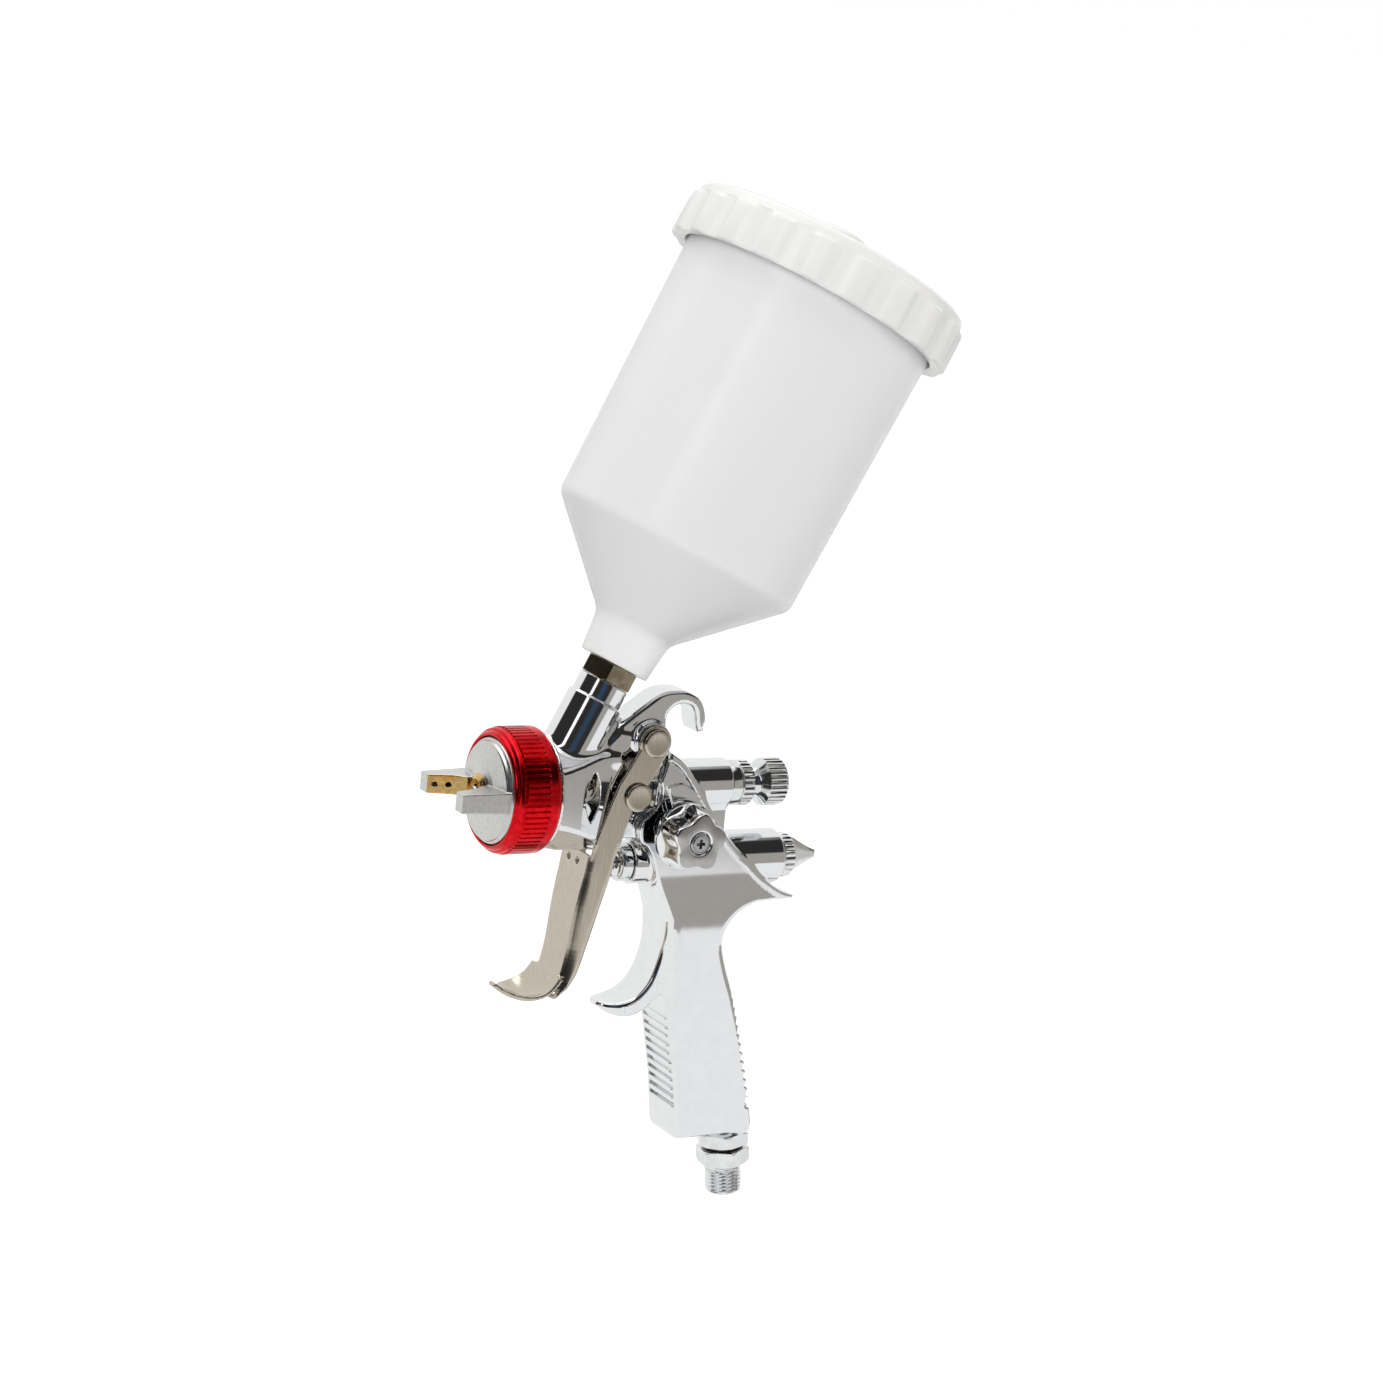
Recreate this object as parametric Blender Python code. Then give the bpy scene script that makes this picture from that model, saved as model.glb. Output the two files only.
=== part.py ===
"""A gravity-feed HVLP paint spray gun, as separate solids in separate named objects.

Every shape is drawn in the spray frame: the origin lies on the spray axis, paint leaves
towards -X, +Z is up and +Y is the gun's right-hand side, with sizes in millimetres.
The empty GUN carries that frame, scaled to metres, so that the world origin is the
centre of the air inlet's end face.
"""
import math

import bmesh
import bpy
from mathutils import Vector

MM = 0.001
GAP = 0.3                              # air between touching pieces

# Air inlet: its axis leans back like the grip, and its end face is the world origin.
INLET_END = (53.2, 0.0, -152.6)
INLET_LEAN = math.radians(7.6)
INLET_UP = (-math.sin(INLET_LEAN), 0.0, math.cos(INLET_LEAN))
THREAD_RADIUS = 6.58                   # G1/4 male thread, 13.16 mm outside

# Cup: its axis crosses the spray axis in the head and leans back.
CUP_FOOT = (-34.8, 0.0, 0.0)
CUP_LEAN = math.radians(25.9)
CUP_UP = (math.sin(CUP_LEAN), 0.0, math.cos(CUP_LEAN))
CUP_RADIUS = 46.2
CUP_WALL = 1.7
LID_RADIUS = 52.6
LID_FOOT, LID_TOP = 188.0, 209.8       # distances along the cup axis
LID_RIBS = 20
HEX_RADIUS = 10.1                      # across corners / 2 of the cup adapter

# Front end
RING_RADIUS = 21.8
RING_FRONT, RING_BACK = -57.0, -40.5
RING_RIBS = 30
CAP_FACE = -57.6
CAP_RADIUS = 18.2
HORN_TIP = -74.8
HEAD_RADIUS = 20.5

# Trigger and its two pins, as (X, Z)
PIVOT = (-0.2, 17.8)
DRIVE_PIN = (-5.3, -1.1)
TRIGGER_HALF_WIDTH = 11.0
TRIGGER_PLATE = 1.3
PIN_HEAD_RADIUS = 5.0

# Body half-widths
HOOK_HALF = 6.0
NECK_HALF = 6.6
CHEEK_HALF = 10.6
GUARD_HALF = 8.0

# Barrels along X
UPPER_BARREL_RADIUS, UPPER_BARREL_END = 9.0, 34.2
LOWER_BARREL_Z = -27.2
LOWER_BARREL_RADIUS, LOWER_BARREL_END = 9.7, 58.2
AIR_CHAMBER_RADIUS = 7.4
SPRING_BORE_RADIUS = 6.2

# Fan width knob on the left side, with its axis along -Y
FAN_AXIS = (13.0, -14.4)
FAN_BORE_RADIUS = 5.2
FAN_LOBES = 5

WIDE, MIDDLE, FINE = 32, 20, 12        # sides of a round piece, by its size

X_AXIS, Y_AXIS, Z_AXIS = (1, 0, 0), (0, 1, 0), (0, 0, 1)
ORIGIN = (0.0, 0.0, 0.0)

FINISHES = {
    "chrome": ((0.78, 0.79, 0.80), 0.12, 1.0),
    "satin_nickel": ((0.66, 0.60, 0.52), 0.28, 1.0),
    "dark_nickel": ((0.42, 0.37, 0.28), 0.30, 1.0),
    "satin_cap": ((0.72, 0.72, 0.70), 0.25, 1.0),
    "red_anodised": ((0.70, 0.03, 0.04), 0.22, 1.0),
    "brass": ((0.72, 0.53, 0.25), 0.25, 1.0),
    "steel": ((0.60, 0.60, 0.60), 0.30, 1.0),
    "milky_plastic": ((0.90, 0.90, 0.89), 0.25, 0.0),
    "white_plastic": ((0.86, 0.85, 0.82), 0.40, 0.0),
    "black_rubber": ((0.03, 0.03, 0.03), 0.60, 0.0),
}


# ---------------------------------------------------------------- tools

def clear_scene():
    """Remove whatever the scene holds."""
    for item in list(bpy.data.objects):
        bpy.data.objects.remove(item, do_unlink=True)


def make_finishes():
    """One Principled material for each finish."""
    made = {}
    for name, (colour, roughness, metallic) in FINISHES.items():
        material = bpy.data.materials.new(name)
        material.use_nodes = True
        shader = material.node_tree.nodes["Principled BSDF"]
        shader.inputs["Base Color"].default_value = (*colour, 1.0)
        shader.inputs["Roughness"].default_value = roughness
        shader.inputs["Metallic"].default_value = metallic
        made[name] = material
    return made


def turned(profile, foot=ORIGIN, axis=X_AXIS, sides=MIDDLE, form=None, phase=0.0):
    """Lathe a closed profile of (along, radius) points round an axis.

    A profile that starts and ends on the axis makes a solid; any other closes on itself
    and makes a ring. A third number in a point is how far form(k) pulls side k inwards.
    """
    mesh = bmesh.new()
    axis = Vector(axis).normalized()
    across = axis.cross(Vector(Y_AXIS) if abs(axis.y) < 0.9 else Vector(Z_AXIS)).normalized()
    beside = axis.cross(across)
    rings = []
    for along, radius, *depth in profile:
        centre = Vector(foot) + along * axis
        if radius == 0:
            rings.append([centre])
            continue
        ring = []
        for k in range(sides):
            angle = 2 * math.pi * k / sides + phase
            reach = radius - (depth[0] * form(k) if depth else 0.0)
            spoke = math.cos(angle) * across + math.sin(angle) * beside
            ring.append(mesh.verts.new(centre + reach * spoke))
        rings.append(ring)
    solid = profile[0][1] == 0
    for end, inner in ((0, 1), (-1, -2)):
        if solid and profile[end][0] == profile[inner][0]:
            mesh.faces.new(rings[inner])
            rings[end] = None
        elif solid:
            rings[end] = [mesh.verts.new(rings[end][0])]
    rings = [ring for ring in rings if ring]
    pairs = list(zip(rings, rings[1:]))
    if not solid:
        pairs.append((rings[-1], rings[0]))
    for low, high in pairs:
        for k in range(sides):
            corners = (
                low[k % len(low)], low[(k + 1) % sides % len(low)],
                high[(k + 1) % sides % len(high)], high[k % len(high)],
            )
            mesh.faces.new(list(dict.fromkeys(corners)))
    bmesh.ops.recalc_face_normals(mesh, faces=mesh.faces)
    return mesh


def bore(steps, foot=ORIGIN, axis=X_AXIS, sides=MIDDLE):
    """A cutter with several radii on one axis: steps holds (start, radius) and ends with (end, 0).

    It is turned a little, so that none of its edges lies on an edge of the piece it cuts.
    """
    profile = [(steps[0][0], 0)]
    for (start, radius), (end, _) in zip(steps, steps[1:]):
        profile.extend([(start, radius), (end, radius)])
    return turned([*profile, (steps[-1][0], 0)], foot, axis, sides, phase=0.07)


def rod(start, end, radius, foot=ORIGIN, axis=X_AXIS, sides=MIDDLE):
    """A plain cylinder between two distances along an axis."""
    return turned([(start, 0), (start, radius), (end, radius), (end, 0)], foot, axis, sides)


def tube(start, end, outer, inner, foot=ORIGIN, axis=X_AXIS, sides=MIDDLE):
    """A plain ring between two distances along an axis."""
    loop = [(start, inner), (start, outer), (end, outer), (end, inner)]
    return turned(loop, foot, axis, sides)


def plate(outline, low, high):
    """Extrude an outline of (X, Z) points from Y = low to Y = high."""
    mesh = bmesh.new()
    near = [mesh.verts.new((x, low, z)) for x, z in outline]
    far = [mesh.verts.new((x, high, z)) for x, z in outline]
    mesh.faces.new(near)
    mesh.faces.new(far)
    for k in range(len(outline)):
        after = (k + 1) % len(outline)
        mesh.faces.new((near[k], near[after], far[after], far[k]))
    bmesh.ops.recalc_face_normals(mesh, faces=mesh.faces)
    return mesh


def arc(centre, radius, start, end, steps):
    """Points on an arc in the XZ plane, with angles in degrees from +X towards +Z."""
    points = []
    for k in range(steps + 1):
        angle = math.radians(start + (end - start) * k / steps)
        x = centre[0] + radius * math.cos(angle)
        points.append((x, centre[1] + radius * math.sin(angle)))
    return points


def smooth(points, steps=3):
    """A Catmull-Rom curve through points, with its ends kept."""
    padded = [points[0], *points, points[-1]]
    curve = []
    for a, b, c, d in zip(padded, padded[1:], padded[2:], padded[3:]):
        for k in range(steps):
            t = k / steps
            curve.append(tuple(
                0.5 * (2 * q + (r - p) * t + (2 * p - 5 * q + 4 * r - s) * t * t
                       + (3 * q - p - 3 * r + s) * t * t * t)
                for p, q, r, s in zip(a, b, c, d)
            ))
    return [*curve, points[-1]]


def ribbon(path, thickness):
    """The outline of a strip that lies on the left of a path."""
    left = []
    for k, (x, z) in enumerate(path):
        before, after = path[max(k - 1, 0)], path[min(k + 1, len(path) - 1)]
        run_x, run_z = after[0] - before[0], after[1] - before[1]
        length = math.hypot(run_x, run_z)
        left.append((x - thickness * run_z / length, z + thickness * run_x / length))
    return [*path, *reversed(left)]


def coil(start, end, radius, wire, turns, z, steps=9, around=5):
    """A compression spring along X at height z, as one closed solid."""
    mesh = bmesh.new()
    rings = []
    count = int(turns * steps)
    for k in range(count + 1):
        angle = 2 * math.pi * k / steps
        out = Vector((0, math.cos(angle), math.sin(angle)))
        centre = Vector((start + (end - start) * k / count, 0, z)) + radius * out
        along = Vector(((end - start) / turns / (2 * math.pi * radius), -out.z, out.y)).normalized()
        side = along.cross(out)
        ring = []
        for j in range(around):
            spin = 2 * math.pi * j / around
            ring.append(mesh.verts.new(centre + wire * (math.cos(spin) * out + math.sin(spin) * side)))
        rings.append(ring)
    for low, high in zip(rings, rings[1:]):
        for j in range(around):
            after = (j + 1) % around
            mesh.faces.new((low[j], low[after], high[after], high[j]))
    mesh.faces.new(rings[0])
    mesh.faces.new(rings[-1])
    bmesh.ops.recalc_face_normals(mesh, faces=mesh.faces)
    return mesh


class Bench:
    """Turns shapes into named objects that hang on the gun's frame."""

    def __init__(self):
        self.finishes = make_finishes()
        self.frame = bpy.data.objects.new("GUN", None)
        self.frame.location = [-MM * value for value in INLET_END]
        bpy.context.collection.objects.link(self.frame)

    def place(self, name, mesh, origin=ORIGIN):
        """Link one shape as an object, with its origin at a point of the spray frame."""
        for vertex in mesh.verts:
            vertex.co = (vertex.co - Vector(origin)) * MM
        data = bpy.data.meshes.new(name)
        mesh.to_mesh(data)
        mesh.free()
        placed = bpy.data.objects.new(name, data)
        placed.location = MM * Vector(origin)
        placed.parent = self.frame
        bpy.context.collection.objects.link(placed)
        return placed

    def part(self, name, finish, solids, cuts=(), origin=ORIGIN):
        """One piece: solids joined into the first of them, less the cuts."""
        piece = self.place(name, solids[0], origin)
        piece.data.materials.append(self.finishes[finish])
        jobs = [("UNION", mesh) for mesh in solids[1:]] + [("DIFFERENCE", mesh) for mesh in cuts]
        for number, (operation, mesh) in enumerate(jobs, 1):
            tool = self.place(f"{name}_tool_{number}", mesh)
            tool.hide_render = True
            tool.display_type = "WIRE"
            boolean = piece.modifiers.new(f"{operation.lower()} {number}", "BOOLEAN")
            boolean.operation = operation
            boolean.solver = "EXACT"
            boolean.object = tool
        piece.data.shade_smooth()
        piece.data.set_sharp_from_angle(angle=math.radians(32))
        return piece


# ---------------------------------------------------------------- body

def hook_outline():
    """The hanging hook above the trigger pivot, running down into the neck."""
    outer = smooth([(-19.0, 10.0), (-13.0, 21.6), (-1.6, 30.7), (3.7, 33.9), (9.0, 34.7),
                    (14.1, 34.2), (19.4, 31.1), (21.8, 25.2), (21.3, 20.2)])
    inner = smooth([(19.0, 19.8), (18.0, 22.5), (17.0, 27.0), (14.7, 29.4), (11.4, 29.9),
                    (8.3, 28.6), (6.3, 25.5), (6.6, 20.0), (8.0, 8.0)])
    return [*outer, *inner]


def neck_outline():
    """The neck between head and grip, with the chin under the head."""
    return [(-38.0, 12.0), (-38.0, -16.5), (-33.0, -19.4), (-22.0, -19.8), (-14.5, -21.0),
            (-12.5, -20.2), (-8.6, -17.0), (10.0, -17.6), (16.0, -8.0), (10.0, 10.0),
            (5.0, 17.0), (-12.0, 20.0), (-20.0, 16.0)]


def cheek_outline():
    """The side of the grip: ridge, horn over the hand, back, foot and front edge."""
    ridge = smooth([(6.6, 14.2), (11.4, 11.2), (15.1, 7.5), (20.9, 0.0), (26.9, -9.0),
                    (32.7, -16.5), (40.3, -24.2), (49.8, -32.9), (59.5, -39.4), (66.5, -42.7)], 2)
    back = smooth([(65.5, -44.1), (56.0, -43.0), (47.5, -42.6), (41.6, -45.2), (37.6, -50.3),
                   (36.4, -56.5), (39.0, -65.5), (43.2, -76.0), (47.6, -91.0), (52.3, -109.0),
                   (55.6, -124.5)], 2)
    foot = [(53.6, -127.6), (26.5, -128.4), (24.2, -126.0)]
    front = smooth([(21.6, -109.0), (18.7, -96.0), (16.4, -84.8), (15.6, -74.0), (15.7, -62.0),
                    (14.2, -53.8), (11.3, -43.1), (8.3, -35.0), (5.8, -28.6), (3.7, -22.9),
                    (1.5, -19.5), (-1.4, -17.6), (-2.6, -13.5), (-1.8, -9.9)], 2)
    recess = arc((-4.3, -0.6), 9.4, -60, 25, 6)
    return [*ridge, *back, *foot, *front, *recess, (5.9, 9.0)]


def guard_outline():
    """The finger guard that curls forward from the grip."""
    top = smooth([(14.5, -50.0), (12.0, -60.0), (9.0, -69.0), (4.0, -74.6), (-2.0, -76.6),
                  (-8.2, -76.7)])
    under = smooth([(-8.9, -78.2), (-4.5, -80.7), (1.0, -81.6), (7.3, -79.8), (13.1, -74.3),
                    (18.5, -66.0)])
    return [*top, *under]


def comb(count, first, last, half_length, half_width, half_height):
    """A row of separate bars across Y, evenly spaced from one (X, Z) point to another."""
    mesh = bmesh.new()
    for k in range(count):
        share = k / (count - 1)
        x = first[0] + (last[0] - first[0]) * share
        z = first[1] + (last[1] - first[1]) * share
        outline = [(x - half_length, z - half_height), (x + half_length, z - half_height),
                   (x + half_length, z + half_height), (x - half_length, z + half_height)]
        bar = plate(outline, -half_width, half_width)
        data = bpy.data.meshes.new("bar")
        bar.to_mesh(data)
        bar.free()
        mesh.from_mesh(data)
        bpy.data.meshes.remove(data)
    return mesh


def make_body(bench):
    """The cast body with all its bores, windows and passages."""
    barrel_foot = (0.0, 0.0, LOWER_BARREL_Z)
    pivot_foot = (PIVOT[0], 0.0, PIVOT[1])
    fan_foot = (FAN_AXIS[0], 0.0, FAN_AXIS[1])
    head = [(-50.5, 0), (-50.5, 18.9), (-40.2, 18.9), (-40.2, HEAD_RADIUS), (-33.0, HEAD_RADIUS),
            (-28.0, 17.6), (-21.0, 11.6), (-14.0, 8.6), (-14.0, 0)]
    boss = [(3.0, 0), (3.0, 9.85), (34.6, 9.85), (34.6, 8.9), (41.4, 8.9), (41.4, 0)]
    solids = [
        plate(cheek_outline(), -CHEEK_HALF, CHEEK_HALF),
        plate(neck_outline(), -NECK_HALF, NECK_HALF),
        plate(hook_outline(), -HOOK_HALF, HOOK_HALF),
        plate(guard_outline(), -GUARD_HALF, GUARD_HALF),
        plate([(14.0, -3.0), (34.0, -1.0), (34.0, -22.0), (14.0, -24.0)], -6.2, 6.2),
        turned(head, sides=WIDE),
        turned(boss, CUP_FOOT, CUP_UP),
        rod(3.0, UPPER_BARREL_END, UPPER_BARREL_RADIUS),
        rod(12.0, LOWER_BARREL_END, LOWER_BARREL_RADIUS, barrel_foot),
        rod(-1.2, 14.0, 7.8, barrel_foot),
        rod(-9.2, 9.2, 6.7, pivot_foot, Y_AXIS),
        rod(-13.2, 2.0, 11.3, fan_foot, Y_AXIS, WIDE),
    ]
    window = [*arc((-23.2, 5.1), 3.2, 0, 180, 4), *arc((-23.2, -5.4), 3.2, 180, 360, 4)]
    pin_slot = [(-9.9, -6.2), (2.7, -6.2), (3.4, -5.4), (3.4, 2.6), (2.7, 3.4), (-9.9, 3.4)]
    clearance = arc((-4.3, -0.6), 9.2, 0, 345, 23)
    cuts = [
        bore([(-52.0, 16.2), (-46.6, 4.6), (-31.4, 1.5), (-30.2, 3.2), (-25.0, 1.7),
              (-1.9, SPRING_BORE_RADIUS), (50.0, 0)]),
        plate(window, -25.0, 25.0),
        plate(pin_slot, -25.0, 25.0),
        plate(clearance, NECK_HALF + 2.0, 30.0),
        plate(clearance, -30.0, -NECK_HALF - 2.0),
        bore([(0.0, 4.95), (60.0, 0)], CUP_FOOT, CUP_UP),
        bore([(-3.0, 5.3), (5.2, 2.4), (16.0, AIR_CHAMBER_RADIUS), (70.0, 0)], barrel_foot),
        bore([(-16.0, FAN_BORE_RADIUS), (5.0, 0)], fan_foot, Y_AXIS),
        bore([(-28.0, 1.6), (-15.0, 0)], (17.0, 0.0, 0.0), Z_AXIS, FINE),
        bore([(-48.0, 2.2), (12.0, 0)], (0.0, 0.0, -13.2), sides=FINE),
        bore([(10.0, 6.0), (34.0, 4.6), (44.0, 0)], INLET_END, INLET_UP),
        bore([(0.0, 3.6), (90.0, 0)], (44.5, 0.0, -114.0), (-22.5, 0.0, 87.0)),
        bore([(-20.0, 2.8), (20.0, 0)], pivot_foot, Y_AXIS, FINE),
        comb(11, (14.6, -82.0), (22.6, -115.0), 2.6, 8.2, 0.65),
        comb(14, (43.6, -73.0), (55.4, -117.0), 2.4, 12.0, 0.75),
    ]
    bench.part("gun_body", "chrome", solids, cuts)


# ---------------------------------------------------------------- front end

def make_front_end(bench):
    """Air distributor, paint nozzle, air cap with horns, slip washer and knurled ring."""
    bench.part("air_distributor", "white_plastic", [tube(-50.2, -47.0, 15.8, 8.6, sides=WIDE)])
    nozzle = [(-63.4, 0.7), (-63.4, 1.9), (-58.5, 2.8), (-54.5, 4.6), (-52.2, 7.6),
              (-46.9, 7.6), (-46.9, 4.3), (-36.6, 4.3), (-36.6, 2.8), (-54.0, 2.6)]
    bench.part("fluid_nozzle", "brass", [turned(nozzle)])

    cap = [(-62.2, 2.25), (-62.2, 4.6), (-60.6, 7.0), (CAP_FACE, CAP_RADIUS),
           (-53.4, CAP_RADIUS), (-53.4, 18.9), (-51.8, 18.9), (-51.8, 17.0), (-55.0, 16.0),
           (-57.6, 6.0), (-59.6, 2.6)]
    horns = []
    for side in (-1, 1):
        mesh = bmesh.new()
        outline = [(-56.2, 7.0), (-63.0, 5.4), (-66.0, 8.6), (HORN_TIP, 11.2),
                   (HORN_TIP, 14.2), (-57.2, 17.6), (-56.2, 17.0)]
        low = [mesh.verts.new((x, side * y, -3.1)) for x, y in outline]
        high = [mesh.verts.new((x, side * y, 3.1)) for x, y in outline]
        mesh.faces.new(low)
        mesh.faces.new(high)
        for k in range(len(outline)):
            after = (k + 1) % len(outline)
            mesh.faces.new((low[k], low[after], high[after], high[k]))
        bmesh.ops.recalc_face_normals(mesh, faces=mesh.faces)
        horns.append(mesh)
    bench.part("air_cap", "satin_cap", [turned(cap, sides=WIDE), *horns])

    bench.part("cap_slip_washer", "white_plastic", [tube(-54.4, -53.7, 19.3, 18.5, sides=WIDE)])
    ring = [(RING_FRONT, 18.6), (RING_FRONT, 19.6), (-54.9, 21.2), (-53.9, 21.6, 0.0),
            (-53.8, RING_RADIUS, 0.5), (-41.0, RING_RADIUS, 0.5), (RING_BACK, 21.3),
            (RING_BACK, 19.6), (-54.7, 19.6), (-54.7, 18.6)]
    bench.part("air_cap_ring", "red_anodised",
               [turned(ring, sides=2 * RING_RIBS, form=lambda k: k % 2)])


# ---------------------------------------------------------------- cup

def lid_form(k):
    """Three sides a rib: one high and two pulled in."""
    return 1.0 if k % 3 else 0.0


def make_cup(bench):
    """Hex adapter, strainer, cup, lid, seal and vent cap."""
    bench.part("cup_adapter", "dark_nickel", [
        rod(41.7, 47.7, HEX_RADIUS, CUP_FOOT, CUP_UP, 6),
        rod(47.0, 58.0, 6.3, CUP_FOOT, CUP_UP),
        rod(33.0, 42.5, 4.65, CUP_FOOT, CUP_UP),
    ], [
        bore([(30.0, 3.3), (50.0, 4.6), (60.0, 0)], CUP_FOOT, CUP_UP, FINE),
    ])
    strainer = [(66.0, 0), (66.0, 4.3), (50.3, 4.3), (50.3, 3.7), (65.4, 3.7), (65.4, 0)]
    bench.part("paint_strainer", "white_plastic", [turned(strainer, CUP_FOOT, CUP_UP, FINE)])

    inside = CUP_RADIUS - CUP_WALL
    cup = [(48.0, 6.6), (48.0, 12.5), (62.1, 14.0), (92.0, 44.3), (186.0, CUP_RADIUS),
           (201.0, CUP_RADIUS), (201.0, inside), (93.5, 42.5), (64.5, 12.4), (60.0, 6.6)]
    bench.part("cup", "milky_plastic", [turned(cup, CUP_FOOT, CUP_UP, 40)])
    bench.part("lid_seal", "white_plastic",
               [tube(201.0 + GAP, 203.4, 46.6, 42.8, CUP_FOOT, CUP_UP, WIDE)])

    lid = [(LID_TOP, 2.0), (LID_TOP, 12.0), (208.8, 38.0), (206.4, 50.0), (204.6, 51.0),
           (203.8, 51.8, 0.9), (LID_FOOT, LID_RADIUS, 0.9), (LID_FOOT, 47.0),
           (203.7, 47.0), (203.7, 42.0), (206.8, 36.0), (207.6, 2.0)]
    bench.part("cup_lid", "milky_plastic",
               [turned(lid, CUP_FOOT, CUP_UP, 3 * LID_RIBS, lid_form)])
    vent = [(206.0, 0), (206.0, 1.65), (LID_TOP + GAP, 1.65), (LID_TOP + GAP, 9.4),
            (214.4, 9.0), (215.6, 7.8), (215.6, 0)]
    bench.part("vent_cap", "milky_plastic", [turned(vent, CUP_FOOT, CUP_UP)])


# ---------------------------------------------------------------- trigger

def trigger_side_outline():
    """One side plate of the trigger, with a round top over the pivot pin."""
    top = arc(PIVOT, 6.1, 200, -10, 8)
    rear = smooth([(4.2, 12.8), (-1.2, 3.0), (-6.4, -6.0), (-9.8, -17.0), (-11.9, -29.3),
                   (-14.3, -39.6), (-18.4, -57.0), (-20.6, -64.5), (-24.0, -70.0)], 2)
    scoop = [(-28.5, -73.4), (-31.0, -72.0)]
    front = smooth([(-27.6, -66.0), (-26.0, -58.0), (-25.1, -50.0), (-23.9, -39.1),
                    (-22.3, -29.4), (-20.6, -19.0), (-16.6, -6.5), (-12.9, 3.6)], 2)
    return [*top, *rear, *scoop, *front]


def make_trigger(bench):
    """Folded trigger with both pins, their fasteners and the pivot washers."""
    pivot = (PIVOT[0], 0.0, PIVOT[1])
    drive = (DRIVE_PIN[0], 0.0, DRIVE_PIN[1])
    inner = TRIGGER_HALF_WIDTH - TRIGGER_PLATE
    web = smooth([(-21.4, -24.0), (-22.3, -29.4), (-23.9, -39.1), (-25.1, -50.0),
                  (-26.2, -59.0), (-28.2, -65.5), (-32.2, -69.8), (-37.6, -71.2),
                  (-43.4, -69.6), (-48.4, -66.4)])
    solids = [
        plate(ribbon(web, 1.5), -TRIGGER_HALF_WIDTH + 0.05, TRIGGER_HALF_WIDTH - 0.05),
        plate(trigger_side_outline(), -TRIGGER_HALF_WIDTH, -inner),
        plate(trigger_side_outline(), inner, TRIGGER_HALF_WIDTH),
    ]
    holes = [bore([(-20.0, 2.75), (20.0, 0)], pivot, Y_AXIS, FINE),
             bore([(-20.0, 3.8), (20.0, 0)], drive, Y_AXIS, FINE)]
    bench.part("trigger", "satin_nickel", solids, holes, origin=pivot)

    head = TRIGGER_HALF_WIDTH + GAP
    pin = [(-head - 1.9, 0), (-head - 1.9, 4.6), (-head - 1.5, PIN_HEAD_RADIUS),
           (-head, PIN_HEAD_RADIUS), (-head, 2.45), (head - 0.1, 2.45), (head - 0.1, 0)]
    bench.part("trigger_pivot_pin", "satin_nickel", [turned(pin, pivot, Y_AXIS)],
               [bore([(4.0, 1.5), (20.0, 0)], pivot, Y_AXIS, FINE)], origin=pivot)
    screw = [(5.0, 0), (5.0, 1.2), (head + 0.2, 1.2), (head + 0.2, PIN_HEAD_RADIUS),
             (head + 1.6, PIN_HEAD_RADIUS), (head + 2.0, 4.5), (head + 2.0, 0)]
    bench.part("pivot_pin_screw", "satin_nickel", [turned(screw, pivot, Y_AXIS, FINE)], origin=pivot)

    for side, low in (("left", -9.62), ("right", 9.42)):
        bench.part(f"pivot_washer_{side}", "steel",
                   [tube(low, low + 0.2, 5.6, 2.8, pivot, Y_AXIS, FINE)], origin=pivot)

    cross = [(-head - 1.9, 0), (-head - 1.9, 4.6), (-head - 1.5, PIN_HEAD_RADIUS),
             (-head, PIN_HEAD_RADIUS), (-head, 3.5), (12.0, 3.5), (12.0, 2.3), (13.4, 2.3),
             (13.4, 0)]
    needle_way = plate([(-12.0, -2.4), (2.0, -2.4), (2.0, 2.5), (-12.0, 2.5)], -1.7, 1.7)
    for vertex in needle_way.verts:
        vertex.co.z += 0.7
    bench.part("needle_drive_pin", "satin_nickel", [turned(cross, drive, Y_AXIS)], [needle_way],
               origin=drive)
    bench.part("drive_pin_clip", "steel", [tube(12.3, 13.1, 4.6, 2.6, drive, Y_AXIS, FINE)],
               origin=drive)


# ---------------------------------------------------------------- needle

def make_needle(bench):
    """Needle, collar, packing and nut, spring, threaded bush, lock ring and knob."""
    needle = [(-62.9, 0), (-62.9, 0.25), (-58.0, 1.15), (31.0, 1.15), (31.0, 2.2),
              (32.6, 2.2), (32.6, 0)]
    bench.part("needle", "steel", [turned(needle, sides=FINE)])
    collar = [(-1.35, 1.45), (-1.35, 4.6), (1.8, 4.6), (1.8, 5.8), (3.6, 5.8), (3.6, 2.7),
              (9.0, 2.7), (9.0, 1.45)]
    bench.part("needle_collar", "brass", [turned(collar)])
    bench.part("needle_packing", "white_plastic", [tube(-29.3, -28.2, 2.9, 1.45, sides=FINE)])
    bench.part("needle_packing_nut", "brass", [rod(-26.1, -22.0, 4.5, sides=6), rod(-27.9, -25.5, 2.9, sides=FINE)],
               [bore([(-30.0, 1.45), (-20.0, 0)], sides=FINE)])
    bench.part("needle_spring", "steel", [coil(4.6, 26.8, 4.7, 0.6, 7, 0.0)])
    bush = [(27.8, 5.9), (34.5, 5.9), (34.5, 8.0), (38.2, 8.0), (38.2, 3.5), (27.8, 3.5)]
    bench.part("needle_bush", "chrome", [turned(bush)])
    lock = [(38.5, 3.5), (38.5, 7.3), (39.2, 8.0, 0.35), (43.4, 8.0, 0.35), (44.0, 7.3), (44.0, 3.5)]
    bench.part("needle_lock_ring", "chrome", [turned(lock, sides=36, form=lambda k: k % 2)])
    # The stem is hollow, so the needle's tail can run back into it.
    knob = [(57.6, 0), (57.6, 7.5), (56.8, 8.4, 0.45), (49.6, 8.4, 0.45), (48.8, 7.4),
            (46.6, 4.9), (44.3, 4.6), (44.3, 3.15), (28.6, 3.15), (28.6, 2.6), (36.8, 2.6),
            (36.8, 0)]
    bench.part("needle_knob", "chrome", [turned(knob, sides=36, form=lambda k: k % 2)])


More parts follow.
